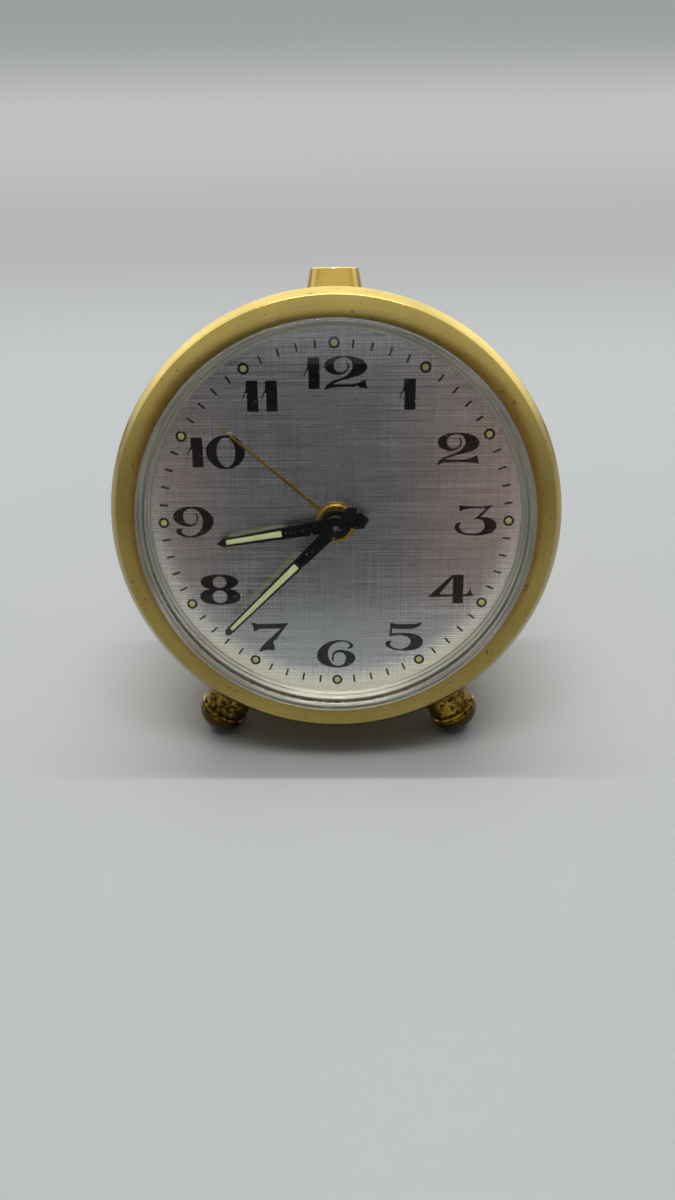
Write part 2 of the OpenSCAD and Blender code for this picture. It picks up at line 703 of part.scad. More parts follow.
// Pressed back cover with its sounding stud, holes for the setting and winding
// arbors, an arc slot for the regulator and five sound holes
module back_cover() {
  rim_w = 1;
  slot_w = 1.6;
  slot_play = 2;
  slot_steps = 5;
  hole_ring_r = cover_r - 6;
  hole_step = 10;
  gong_back_gap = 0.9;
  gong_dir = heading([0, 0], gong_pos);
  color(brass) difference() {
    union() {
      translate([0, 0, cover_back_z]) cylinder(r = cover_r, h = cover_t, $fn = 128);
      translate([0, 0, -case_depth]) difference() {
        cylinder(r = cover_r, h = cover_recess + cover_t, $fn = 128);
        translate([0, 0, -over])
          cylinder(r = cover_r - rim_w, h = cover_recess + cover_t + 2 * over, $fn = 128);
      }
      at(gong_pos, cover_front_z - bite)
        cylinder(r = gong_r, h = stop_z - cover_front_z + gong_back_gap);
    }
    cover_hole([0, 0], cannon_pipe_r + pass_gap);
    cover_hole(setting_pos, setting_arbor_r + pass_gap);
    for (p = [barrel_pos, alarm_barrel_pos]) cover_hole(p, barrel_arbor_r + pass_gap);
    for (a = pillar_dirs)
      cover_hole(polar(pillar_ring_r, a), cover_screw_r + running_gap);
    for (i = [-2.5:1.5])
      cover_hole(polar(hole_ring_r, gong_dir + hole_step * i), sound_hole_r);
    for (i = [-slot_steps:slot_steps])
      cover_hole(balance_pos + polar(regulator_arm,
        regulator_dir + i * (regulator_swing + slot_play) / slot_steps), slot_w / 2);
  }
}

module cover_hole(p, r) {
  hole(p, r, -case_depth, cover_front_z + over);
}

module cover_screws() {
  slot_w = 0.4;
  slot_depth = 0.35;
  color(steel) for (a = pillar_dirs)
    at(polar(pillar_ring_r, a)) difference() {
      union() {
        translate([0, 0, cover_back_z - cover_screw_head_h])
          cylinder(r = cover_screw_head_r, h = cover_screw_head_h);
        translate([0, 0, cover_back_z]) cylinder(r = cover_screw_r, h = cover_t + screw_depth);
      }
      translate([-cover_screw_head_r, -slot_w / 2, cover_back_z - cover_screw_head_h - over])
        cube([2 * cover_screw_head_r, slot_w, slot_depth + over]);
    }
}

// Frame of a foot: Z runs outwards along the foot from the clock's axis
module foot_axis(side) {
  translate([0, 0, -foot_back]) rotate([0, 0, -90 + side * foot_angle])
    rotate([0, 90, 0]) children();
}

// Turned foot: neck, bead and flattened dome, saddled to the drum, on a threaded stud
module foot(side) {
  n = 12;
  stud_end_gap = 1;
  stud_start = drum_in_r - foot_nut_t - stud_end_gap;
  saddle_depth = 1;
  groove_w = foot_bead_w * 0.3;
  shoulder = foot_bead_w * 0.2;
  color(aged_brass) difference() {
    stand() difference() {
      foot_axis(side) {
        translate([0, 0, stud_start]) cylinder(r = foot_stud_r, h = drum_r - stud_start);
        rotate_extrude() polygon(concat(
          [[0, drum_r - saddle_depth], [foot_neck_r, drum_r - saddle_depth],
           [foot_neck_r, foot_reach - foot_bead_w - shoulder],
           [foot_bead_r, foot_reach - foot_bead_w - shoulder + groove_w],
           [foot_bead_r, foot_reach - shoulder], [foot_head_r, foot_reach]],
          [for (i = [1:n]) [foot_head_r * cos(90 * i / n),
            foot_reach + foot_head_h * sin(90 * i / n)]]));
      }
      difference() {
        translate([0, 0, -case_depth])
          cylinder(r = drum_r + fit_gap, h = case_depth, $fn = 128);
        foot_axis(side) cylinder(r = foot_stud_r, h = drum_r + saddle_depth);
      }
    }
    translate([-2 * bezel_r, -2 * bezel_r, -bezel_r]) cube([4 * bezel_r, 4 * bezel_r, bezel_r]);
  }
}

module foot_nuts() {
  seat = sqrt(pow(drum_in_r, 2) - pow(foot_nut_w / 2, 2)) - fit_gap;
  color(steel) for (side = [-1, 1]) foot_axis(side)
    translate([0, 0, seat - foot_nut_t]) difference() {
      cylinder(r = foot_nut_w / 2, h = foot_nut_t, $fn = 6);
      hole([0, 0], foot_stud_r, 0, foot_nut_t);
    }
}

// Tapered push button with its stem and the yoke that reaches back to the stop lever
module alarm_button() {
  base_y = drum_r + button_gap;
  collar_r = 2.3;
  collar_y = sqrt(pow(drum_in_r, 2) - pow(collar_r, 2)) - button_travel - fit_gap;
  chamfer = 0.1;
  yoke_overlap = 1.3;
  yoke_end_z = stop_z - yoke_overlap;
  color(brass) {
    translate([0, 0, -button_back]) rotate([-90, 0, 0]) {
      rotate_extrude() polygon([[0, base_y], [button_base_r, base_y],
        [button_top_r, base_y + button_h - chamfer],
        [button_top_r - chamfer, base_y + button_h], [0, base_y + button_h]]);
      translate([0, 0, yoke_y + yoke_t / 2]) cylinder(r = button_stem_r, h = base_y - yoke_y);
      translate([0, 0, yoke_y]) cylinder(r = collar_r, h = collar_y - yoke_y);
    }
    translate([-yoke_w / 2, yoke_y, yoke_end_z])
      cube([yoke_w, yoke_t, -button_back + button_stem_r - yoke_end_z]);
  }
}

// Two-armed lever between the button's yoke and the hammer's tail
module stop_lever() {
  t = 1;
  arm_w = 1.6;
  hub_r = 1.7;
  color(steel) translate([0, 0, stop_z - t]) {
    difference() {
      union() {
        at(stop_pivot) cylinder(r = hub_r, h = t);
        bar(stop_pivot, stop_pad, arm_w, t);
        bar(stop_pivot, stop_elbow, arm_w, t);
        bar(stop_elbow, stop_tip, arm_w, t);
        at(stop_pad) cylinder(r = stop_pad_r, h = t);
      }
      hole(stop_pivot, stout_arbor_r + running_gap, 0, t);
    }
  }
}

// Butterfly key with two round wings on a web, and a threaded blind bore
module key() {
  web_h = 1.2;
  cap_h = 1;
  color(brass) difference() {
    union() {
      translate([0, 0, -key_hub_len - cap_h]) cylinder(r = key_hub_r, h = key_hub_len + cap_h);
      for (side = [-1, 1])
        translate([side * key_wing_offset, key_wing_t / 2, -key_wing_z]) rotate([90, 0, 0])
          cylinder(r = key_wing_r, h = key_wing_t);
      translate([-key_wing_offset, -key_wing_t / 2, -key_wing_z - web_h])
        cube([2 * key_wing_offset, key_wing_t, key_wing_z - key_hub_len + web_h + cap_h]);
    }
    translate([0, 0, -key_hub_len + cap_h]) cylinder(r = key_thread_r, h = key_hub_len);
  }
}

// Fluted knob on a narrower neck, bored for its arbor
module knob(bore) {
  flute_depth = 0.3;
  neck_h = knob_h * 0.25;
  neck_r = knob_r * 0.62;
  color(brass) difference() {
    union() {
      translate([0, 0, -knob_h]) linear_extrude(knob_h - neck_h) polygon(
        [for (i = [0:2 * knob_flutes - 1])
          polar(knob_r - (i % 2) * flute_depth, 180 * i / knob_flutes)]);
      translate([0, 0, -neck_h]) cylinder(r = neck_r, h = neck_h);
    }
    translate([0, 0, -knob_h + knob_cap]) cylinder(r = bore, h = knob_h);
  }
}

// Regulator: a friction ring round the balance cock with an arm and a bent tab
module regulator() {
  t = 0.5;
  ring_r = 2;
  tab_w = 1;
  tab_t = 0.6;
  tab_end_z = -case_depth - 0.4;
  color(steel) at(balance_pos) rotate(regulator_dir) difference() {
    translate([0, 0, regulator_z - t]) {
      cylinder(r = ring_r, h = t);
      translate([0, -tab_w / 2, 0]) cube([regulator_arm + tab_t / 2, tab_w, t]);
      translate([regulator_arm - tab_t / 2, -tab_w / 2, tab_end_z - regulator_z + t])
        cube([tab_t, tab_w, regulator_z - tab_end_z]);
    }
    hole([0, 0], regulator_post_r + running_gap, regulator_z - t, regulator_z);
  }
}

// Outline of a hand along +X: spade tail, round hub and a tapering blade
module blade(len, tail, hub_r, root_w, tip_w, point) {
  spade_x = tail * 0.78;
  heel_x = tail * 0.55;
  heel_w = spade_w * 0.9;
  neck_x = hub_r * 0.8;
  upper = [[-tail, 0], [-spade_x, spade_w / 2], [-heel_x, heel_w / 2], [-neck_x, tail_neck_w / 2],
    [0, root_w / 2], [len - point, tip_w / 2], [len, point_w / 2]];
  linear_extrude(hand_t) polygon(concat(upper,
    [for (i = [len(upper) - 1:-1:1]) [upper[i][0], -upper[i][1]]]));
  cylinder(r = hub_r, h = hand_t);
}

// Slot for luminous paint, narrowing to the tip
module slot(start, end, w, end_w, t) {
  linear_extrude(t) polygon([[start, w / 2], [end, end_w / 2], [end, -end_w / 2], [start, -w / 2]]);
}

module minute_slot(t) {
  slot(slot_start, minute_slot_end, slot_w, slot_w * minute_slot_taper, t);
}

module hour_slot(t) {
  slot(slot_start, hour_slot_end, hour_slot_w, hour_slot_w * hour_slot_taper, t);
}

module clock_angle(a) {
  rotate(90 - a) children();
}

module minute_hand() {
  color(hand_black) clock_angle(minute_dir) translate([0, 0, minute_hand_z]) difference() {
    blade(minute_len, minute_tail, minute_hub_r, minute_root_w, minute_tip_w, minute_point);
    translate([0, 0, -over]) minute_slot(hand_t + 2 * over);
    hole([0, 0], hand_pin_r, 0, hand_t);
  }
}

module minute_hand_lume() {
  color(lume) clock_angle(minute_dir) translate([0, 0, minute_hand_z]) minute_slot(lume_t);
}

module hour_hand() {
  color(hand_black) clock_angle(hour_dir) translate([0, 0, hour_hand_z]) difference() {
    blade(hour_len, hour_tail, hour_hub_r, hour_root_w, hour_tip_w, hour_point);
    translate([0, 0, -over]) hour_slot(hand_t + 2 * over);
    hole([0, 0], hour_seat_r, 0, hand_t);
  }
}

module hour_hand_lume() {
  color(lume) clock_angle(hour_dir) translate([0, 0, hour_hand_z]) hour_slot(lume_t);
}

// Alarm hand: a thin pointer on a round hub with a raised collet
module alarm_hand() {
  collet_h = 0.3;
  collet_root_r = alarm_seat_r + 0.75;
  collet_top_r = alarm_seat_r + 0.5;
  color(brass) clock_angle(alarm_dir) translate([0, 0, alarm_hand_z]) difference() {
    union() {
      linear_extrude(alarm_hand_t) polygon([
        [0, alarm_root_w / 2], [alarm_len, alarm_tip_w / 2],
        [alarm_len, -alarm_tip_w / 2], [0, -alarm_root_w / 2]]);
      cylinder(r = alarm_hub_r, h = alarm_hand_t);
      translate([0, 0, alarm_hand_t]) cylinder(r1 = collet_root_r, r2 = collet_top_r, h = collet_h);
    }
    hole([0, 0], alarm_seat_r, 0, alarm_hand_t + collet_h);
  }
}

// Minute arbor: it runs through the whole movement, carries the cannon pinion and the
// minute hand in front, and the hand-setting knob behind
cannon_z = front_z + 0.4;
cannon_t = 0.8;
arbor_end_z = knob_front_z - knob_h + knob_cap + fit_gap;
module minute_arbor() {
  pin_h = hand_t + 0.3;
  collar_z = rear_z - 6;
  collar_t = 1;
  color(steel) {
    translate([0, 0, arbor_end_z]) cylinder(r = minute_arbor_r, h = minute_hand_z - arbor_end_z);
    translate([0, 0, minute_hand_z - bite]) cylinder(r = hand_pin_r, h = pin_h + bite);
    translate([0, 0, cannon_z]) rotate(mesh_turn(minute_wheel_dir + 180, minute_teeth, cannon_teeth))
      pinion_teeth(cannon_teeth, motion_module, cannon_t);
    translate([0, 0, cannon_z]) cylinder(r = cannon_pipe_r, h = minute_hand_z - cannon_z);
    translate([0, 0, collar_z]) cylinder(r = cannon_pipe_r, h = collar_t);
  }
}

// Minute wheel and pinion, turning on a post of the front plate
module minute_wheel() {
  t = 0.6;
  pinion_t = 1.7;
  color(brass) at(minute_pos) difference() {
    union() {
      translate([0, 0, cannon_z]) wheel_teeth(minute_teeth, motion_module, t);
      translate([0, 0, cannon_z + t])
        rotate(mesh_turn(minute_wheel_dir + 180, hour_teeth, minute_leaves))
        pinion_teeth(minute_leaves, hour_module, pinion_t);
    }
    hole([0, 0], stout_arbor_r + running_gap, cannon_z, cannon_z + t + pinion_t);
  }
}

// Hour wheel on its pipe, running on the cannon pipe
hour_wheel_z = cannon_z + cannon_t + 0.7;
module hour_wheel() {
  t = 0.7;
  pipe_end_z = hour_hand_z + hand_t + 0.1;
  color(brass) difference() {
    union() {
      translate([0, 0, hour_wheel_z]) rotate(180) wheel_teeth(hour_teeth, hour_module, t);
      translate([0, 0, hour_wheel_z]) cylinder(r = hour_pipe_r, h = hour_hand_z - hour_wheel_z);
      translate([0, 0, hour_wheel_z]) cylinder(r = hour_seat_r, h = pipe_end_z - hour_wheel_z);
    }
    hole([0, 0], cannon_pipe_r + running_gap, hour_wheel_z, pipe_end_z);
  }
}

// Alarm wheel and pipe, running on the hour pipe
alarm_wheel_z = hour_wheel_z + 1.5;
module alarm_wheel() {
  t = 0.6;
  pipe_end_z = alarm_hand_z + alarm_hand_t + 0.2;
  color(brass) difference() {
    union() {
      translate([0, 0, alarm_wheel_z]) wheel_teeth(alarm_wheel_teeth, alarm_module, t);
      translate([0, 0, alarm_wheel_z])
        cylinder(r = alarm_pipe_r, h = alarm_hand_z - alarm_wheel_z);
      translate([0, 0, alarm_wheel_z])
        cylinder(r = alarm_seat_r, h = pipe_end_z - alarm_wheel_z);
    }
    hole([0, 0], hour_pipe_r + running_gap, alarm_wheel_z, pipe_end_z);
  }
}

// Alarm setting arbor from its pinion in front to the knob behind
module alarm_setting_arbor() {
  pinion_z = alarm_wheel_z - 0.2;
  pinion_t = 1;
  tip_z = alarm_wheel_z + 1;
  color(steel) at(setting_pos) {
    translate([0, 0, arbor_end_z]) cylinder(r = setting_arbor_r, h = tip_z - arbor_end_z);
    translate([0, 0, pinion_z])
      rotate(mesh_turn(setting_dir, alarm_wheel_teeth, setting_teeth))
      pinion_teeth(setting_teeth, alarm_module, pinion_t);
  }
}

// Flat spring under the hour wheel, whose finger reaches through to the hammer arbor
spring_x = -16.5;
spring_finger = hammer_pos + [-1.7, 1.7];
module release_spring() {
  t = 0.2;
  arm_w = 1;
  arm_end_x = 1;
  heel_w = 3;
  foot_r = 2;
  finger_r = 0.5;
  finger_end_z = front_back_z - 3;
  fork_z = hour_wheel_z - pass_gap - t;
  fork_y = cannon_pipe_r + 1.4;
  color(blued_steel) {
    for (side = [-1, 1]) translate([spring_x, side * fork_y - arm_w / 2, fork_z])
      cube([arm_end_x - spring_x, arm_w, t]);
    translate([spring_x, -fork_y - arm_w / 2, fork_z])
      cube([1.5 * arm_w, 2 * fork_y + arm_w, t]);
    translate([spring_x, -heel_w / 2, front_z]) cube([arm_w, heel_w, fork_z - front_z + t]);
    translate([0, 0, front_z]) difference() {
      union() {
        bar([spring_x, 0], spring_finger, 2 * arm_w, t);
        at([spring_x, 0]) cylinder(r = foot_r, h = t);
      }
      translate([spring_x + arm_w, -foot_r, -over]) cube([heel_w, 2 * foot_r, t + 2 * over]);
    }
    at(spring_finger, finger_end_z) cylinder(r = finger_r, h = front_z - finger_end_z + bite);
  }
}

// Plate with a bore for each pivot and tenon
module plate(z, barrel_bore) {
  difference() {
    translate([0, 0, z]) cylinder(r = plate_r, h = plate_t, $fn = 128);
    plate_hole([0, 0], minute_arbor_r + running_gap, z);
    plate_hole(setting_pos, setting_arbor_r + running_gap, z);
    for (p = [barrel_pos, alarm_barrel_pos]) plate_hole(p, barrel_bore + running_gap, z);
    for (p = [third_pos, fourth_pos, escape_pos, lever_pos, balance_pos, alarm_escape_pos])
      plate_hole(p, pivot_r + running_gap, z);
    for (a = pillar_dirs) plate_hole(polar(pillar_ring_r, a), pillar_tenon_r, z);
  }
}

module plate_hole(p, r, z) {
  hole(p, r, z, z + plate_t);
}

// Front plate, with the post of the minute wheel and holes for the dial feet
module front_plate() {
  finger_hole_r = 1;
  post_h = 2.9;
  collar_r = 1.3;
  collar_h = 0.3;
  color(brass) union() {
    difference() {
      plate(front_back_z, front_pivot_r);
      for (a = dial_foot_dirs)
        plate_hole(polar(dial_foot_ring_r, a), dial_foot_r + running_gap, front_back_z);
      plate_hole(hammer_pos, pivot_r + running_gap, front_back_z);
      plate_hole(spring_finger, finger_hole_r, front_back_z);
    }
    at(minute_pos, front_z - bite) cylinder(r = stout_arbor_r, h = post_h + bite);
    at(minute_pos, front_z - bite) cylinder(r = collar_r, h = collar_h + bite);
  }
}

// Rear plate, with posts for the stop lever and the regulator
module rear_plate() {
  post_end_z = stop_z - 1.2;
  collar_r = 1.3;
  collar_z = stop_z + 0.1;
  regulator_post_z = regulator_z - 0.8;
  color(brass) union() {
    difference() {
      plate(rear_z, barrel_arbor_r);
      plate_hole(hammer_pos, arbor_r + running_gap, rear_z);
      for (p = click_posts) plate_hole(p, click_screw_r, rear_z);
      translate([-yoke_w / 2 - pass_gap, yoke_y - pass_gap, rear_z - over])
        cube([yoke_w + 2 * pass_gap, drum_in_r, plate_t + 2 * over]);
    }
    at(stop_pivot, post_end_z) cylinder(r = stout_arbor_r, h = rear_z - post_end_z + bite);
    at(stop_pivot, collar_z) cylinder(r = collar_r, h = rear_z - collar_z + bite);
    difference() {
      at(balance_pos, regulator_post_z)
        cylinder(r = regulator_post_r, h = rear_z - regulator_post_z + bite);
      hole(balance_pos, pivot_r + running_gap, regulator_post_z, rear_front_z);
    }
  }
}

// Pillars with a tenon through each plate
rear_tenon_z = rear_z - 1.5;
module pillars() {
  color(brass) for (a = pillar_dirs) at(polar(pillar_ring_r, a)) {
    translate([0, 0, rear_front_z]) cylinder(r = pillar_r, h = plate_gap);
    translate([0, 0, rear_tenon_z]) cylinder(r = pillar_tenon_r, h = front_z - rear_tenon_z);
  }
}

// Threaded posts that clamp the rear plate and take the cover screws
module cover_posts() {
  color(steel) for (a = pillar_dirs) at(polar(pillar_ring_r, a)) difference() {
    translate([0, 0, cover_front_z]) cylinder(r = post_r, h = rear_z - cover_front_z);
    translate([0, 0, rear_tenon_z - bite]) cylinder(r = pillar_tenon_r, h = plate_t + over);
    translate([0, 0, cover_front_z - over])
      cylinder(r = cover_screw_r, h = over + screw_depth + pass_gap);
  }
}

// Spring barrel: toothed disc and drum
module barrel(turn) {
  color(brass) difference() {
    union() {
      translate([0, 0, barrel_disc_back_z]) rotate(turn)
        wheel_teeth(barrel_teeth, barrel_module, barrel_disc_t);
      translate([0, 0, barrel_back_z]) cylinder(r = barrel_r, h = barrel_len + bite);
    }
    translate([0, 0, barrel_back_z - over])
      cylinder(r = barrel_r - barrel_wall, h = barrel_len + over);
    hole([0, 0], front_pivot_r + running_gap, barrel_back_z, barrel_front_z);
  }
}

module barrel_cover() {
  color(brass) translate([0, 0, barrel_back_z]) difference() {
    cylinder(r = barrel_r - barrel_wall, h = barrel_wall);
    hole([0, 0], barrel_arbor_r + running_gap, 0, barrel_wall);
  }
}

module mainspring() {
  t = 0.3;
  color(blued_steel) translate([0, 0, barrel_back_z + barrel_wall + pass_gap])
    spiral(barrel_hub_r + pass_gap, barrel_r - barrel_wall - t, mainspring_turns, t,
      barrel_len - barrel_wall - 2 * pass_gap);
}

// Barrel arbor: front pivot, spring hub, ratchet square and the key's thread
module barrel_arbor() {
  end_play = 0.1;
  hub_back_z = barrel_back_z + barrel_wall + end_play;
  hub_front_z = barrel_disc_back_z - end_play;
  square_back_z = ratchet_z - ratchet_t;
  thread_end_z = key_front_z - key_hub_len + 1.1;
  color(steel) {
    translate([0, 0, hub_front_z - bite])
      cylinder(r = front_pivot_r, h = front_back_z + tenon_depth - hub_front_z + bite);
    translate([0, 0, hub_back_z]) cylinder(r = barrel_hub_r, h = hub_front_z - hub_back_z);
    translate([0, 0, ratchet_z])
      cylinder(r = barrel_arbor_r, h = hub_back_z - ratchet_z + bite);
    translate([-ratchet_square / 2, -ratchet_square / 2, square_back_z])
      cube([ratchet_square, ratchet_square, ratchet_t + bite]);
    translate([0, 0, key_front_z]) cylinder(r = barrel_arbor_r, h = square_back_z - key_front_z);
    translate([0, 0, thread_end_z])
      cylinder(r = key_thread_r, h = key_front_z - thread_end_z + bite);
  }
}

// Ratchet wheel with a square seat
module ratchet_wheel() {
  step = 360 / ratchet_teeth;
  color(steel) translate([0, 0, ratchet_z - ratchet_t]) difference() {
    linear_extrude(ratchet_t) polygon([for (i = [0:ratchet_teeth - 1]) each
      [polar(ratchet_r, step * i + 90), polar(ratchet_r - ratchet_depth, step * i + 90)]]);
    translate([-ratchet_square / 2, -ratchet_square / 2, -over])
      cube([ratchet_square, ratchet_square, ratchet_t + 2 * over]);
  }
}

// Click: a pivoted pawl whose tip lies in the notch above the ratchet arbor
click_screw_r = 0.6;
click_rel = [-5.2, ratchet_r - 0.3];
click_posts = [barrel_pos + click_rel, alarm_barrel_pos + click_rel];
module click() {
  root_r = ratchet_r - ratchet_depth;
  edge_x = -0.1;
  hub_r = 1.1;
  color(steel) translate([0, 0, ratchet_z - ratchet_t]) difference() {
    union() {
      linear_extrude(ratchet_t) polygon([[edge_x, root_r + 0.16], [edge_x, ratchet_r + 0.6],
        [-1.2, ratchet_r + 0.9], [click_rel[0], click_rel[1] + hub_r],
        [click_rel[0], click_rel[1]], [-4.2, ratchet_r + 0.1], [-1.3, ratchet_r + 0.1]]);
      at(click_rel) cylinder(r = hub_r, h = ratchet_t);
    }
    hole(click_rel, click_screw_r + running_gap, 0, ratchet_t);
  }
}

module click_screws() {
  play = 0.1;
  head_r = 1.2;
  head_h = 0.6;
  shoulder_r = 1;
  slot_w = 0.3;
  slot_depth = 0.3;
  head_z = ratchet_z - ratchet_t - play;
  color(steel) for (p = click_posts) at(p) difference() {
    union() {
      translate([0, 0, head_z]) cylinder(r = click_screw_r, h = rear_front_z - head_z);
      translate([0, 0, head_z - head_h]) cylinder(r = head_r, h = head_h);
      translate([0, 0, ratchet_z + play])
        cylinder(r = shoulder_r, h = rear_z - ratchet_z - play);
    }
    translate([-2 * head_r, -slot_w / 2, head_z - head_h - over])
      cube([4 * head_r, slot_w, slot_depth + over]);
  }
}

// Centre wheel riveted to its pinion, which turns on the minute arbor
module centre_wheel() {
  pinion_front_z = barrel_front_z + pass_gap;
  pinion_len = barrel_disc_t + 0.8;
  pinion_back_z = pinion_front_z - pinion_len;
  sleeve_r = 1.05;
  color(brass) difference() {
    union() {
      translate([0, 0, centre_wheel_z - wheel_t])
        train_wheel(centre_teeth, centre_module, minute_arbor_r + running_gap);
      translate([0, 0, pinion_back_z])
        rotate(mesh_turn(barrel_dir + 180, barrel_teeth, centre_leaves, 180))
        pinion_teeth(centre_leaves, barrel_module, pinion_len);
      translate([0, 0, centre_wheel_z - bite])
        cylinder(r = sleeve_r, h = pinion_back_z - centre_wheel_z + 2 * bite);
      translate([0, 0, pinion_front_z - bite])
        cylinder(r = sleeve_r, h = front_back_z - pinion_front_z);
    }
    hole([0, 0], minute_arbor_r + running_gap, rear_front_z, front_back_z);
  }
}

// Bowed washer between the centre wheel and the rear plate, the hands' slipping clutch
module clutch_spring() {
  top_z = centre_wheel_z - wheel_t - fit_gap;
  bottom_z = top_z - 1.2;
  t = 0.25;
  seat_r = 1.4;
  edge_r = 3;
  lip_r = 3.2;
  color(blued_steel) rotate_extrude() polygon([
    [minute_arbor_r, bottom_z], [seat_r, bottom_z], [edge_r, top_z - t], [lip_r, top_z],
    [edge_r - 0.2, top_z], [seat_r - 0.1, bottom_z + t], [minute_arbor_r, bottom_z + t]]);
}

module third_wheel() {
  color(brass) at(third_pos, third_wheel_z - wheel_t)
    train_wheel(third_teeth, third_module, stout_arbor_r);
}

module third_arbor() {
  color(steel) at(third_pos) {
    train_arbor(stout_arbor_r);
    translate([0, 0, centre_wheel_z - wheel_t - leaf_over])
      rotate(mesh_turn(third_dir, centre_teeth, third_leaves))
      pinion_teeth(third_leaves, centre_module, wheel_t + 2 * leaf_over);
  }
}

module fourth_wheel() {
  color(brass) at(fourth_pos, fourth_wheel_z - wheel_t)
    train_wheel(fourth_teeth, fourth_module, arbor_r);
}

module fourth_arbor() {
  color(steel) at(fourth_pos) {
    train_arbor(arbor_r);
    translate([0, 0, third_wheel_z - wheel_t - leaf_over])
      rotate(mesh_turn(fourth_dir, third_teeth, fourth_leaves))
      pinion_teeth(fourth_leaves, third_module, wheel_t + 2 * leaf_over);
  }
}

// Escape wheel with pointed teeth on four spokes
escape_wheel_t = 0.5;
escape_tooth_h = 0.9;
module saw_wheel(n, r, t, bore) {
  step = 360 / n;
  tip_share = 0.1;
  back_share = 0.45;
  root_share = 0.8;
  hub_w = 0.8;
  rim_w = 0.7;
  window_half = 32;
  root_r = r - escape_tooth_h;
  difference() {
    linear_extrude(t) polygon([for (i = [0:n - 1]) each [
      polar(r, step * i), polar(r, step * (i + tip_share)),
      polar(root_r, step * (i + back_share)), polar(root_r, step * (i + root_share))]]);
    hole([0, 0], bore, 0, t);
    for (i = [0:3]) rotate(90 * i + 45) translate([0, 0, -over])
      window(bore + hub_w, root_r - rim_w, window_half, t + 2 * over);
  }
}

module escape_wheel() {
  color(brass) at(escape_pos, escape_wheel_z - escape_wheel_t)
    saw_wheel(escape_teeth, escape_r, escape_wheel_t, fine_arbor_r);
}

module escape_arbor() {
  color(steel) at(escape_pos) {
    train_arbor(fine_arbor_r);
    translate([0, 0, fourth_wheel_z - wheel_t - leaf_over])
      rotate(mesh_turn(escape_dir, fourth_teeth, escape_leaves))
      pinion_teeth(escape_leaves, fourth_module, wheel_t + 2 * leaf_over);
  }
}

// Pallet lever: arbor, crossbar with two pins towards the escape wheel, and the fork
lever_z = escape_wheel_z - escape_wheel_t - pin_gap - 1.1;
lever_t = 0.5;
module pallet_lever() {
  pin_half = 2;
  pin_r = 0.22;
  pin_h = 1.1;
  pin_x = lever_gap - escape_r + 0.55;
  crossbar_w = 0.9;
  arm_w = 1;
  prong_w = 0.6;
  prong_y = 0.75;
  fork_root = fork_len - 0.6;
  fork_tip = fork_len + 0.6;
  color(steel) at(lever_pos) rotate(lever_dir) {
    train_arbor(fine_arbor_r);
    translate([0, 0, lever_z - lever_t]) {
      bar([-pin_x, -pin_half], [-pin_x, pin_half], crossbar_w, lever_t);
      bar([-pin_x, 0], [fork_root + prong_w / 3, 0], arm_w, lever_t);
      bar([fork_root, -prong_y], [fork_root, prong_y], prong_w, lever_t);
      for (side = [-1, 1]) {
        bar([fork_root, side * prong_y], [fork_tip, side * prong_y], prong_w, lever_t);
        translate([-pin_x, side * pin_half, lever_t - bite])
          cylinder(r = pin_r, h = pin_h + bite, $fn = 24);
      }
    }
  }
}

// Balance wheel: rim on two arms
module balance_wheel() {
  t = 1;
  rim_w = 0.9;
  hub_r = 1.3;
  arm_w = 1.1;
  arm_t = 0.6;
  color(brass) at(balance_pos, balance_wheel_z - t) difference() {
    union() {
      difference() {
        cylinder(r = balance_r, h = t);
        hole([0, 0], balance_r - rim_w, 0, t);
      }
      cylinder(r = hub_r, h = t);
      translate([-balance_r + rim_w / 2, -arm_w / 2, (t - arm_t) / 2])
        cube([2 * balance_r - rim_w, arm_w, arm_t]);
    }
    hole([0, 0], arbor_r, 0, t);
  }
}

// Balance staff with its roller and impulse pin
module balance_staff() {
  roller_z = lever_z + pin_gap + 0.7;
  roller_r = impulse_r + 0.5;
  roller_t = 0.6;
  pin_r = 0.25;
  color(steel) at(balance_pos) {
    train_arbor(arbor_r);
    translate([0, 0, roller_z]) cylinder(r = roller_r, h = roller_t);
    rotate(lever_dir + 180) translate([impulse_r, 0, lever_z + pin_gap])
      cylinder(r = pin_r, h = roller_z - lever_z, $fn = 24);
    translate([0, 0, hairspring_z - hairspring_w]) cylinder(r = collet_r, h = hairspring_w + bite);
  }
}

// Hairspring, held by the collet of the staff
collet_r = 0.95;
hairspring_w = 0.5;
module hairspring() {
  inner_r = collet_r + bite;
  outer_r = 4.2;
  t = 0.12;
  color(blued_steel) at(balance_pos, hairspring_z - hairspring_w)
    spiral(inner_r, outer_r, hairspring_turns, t, hairspring_w);
}

// Alarm escape wheel, its arbor and pinion
module alarm_escape_wheel() {
  t = 1;
  leaf_play = 0.3;
  color(brass) at(alarm_escape_pos) {
    train_arbor(stout_arbor_r);
    translate([0, 0, alarm_escape_z - t])
      saw_wheel(alarm_escape_teeth, alarm_escape_r, t, stout_arbor_r - fit_gap);
    translate([0, 0, barrel_disc_back_z - leaf_play])
      rotate(mesh_turn(alarm_escape_dir, barrel_teeth, alarm_leaves))
      pinion_teeth(alarm_leaves, barrel_module, barrel_disc_t + 2 * leaf_play);
  }
}

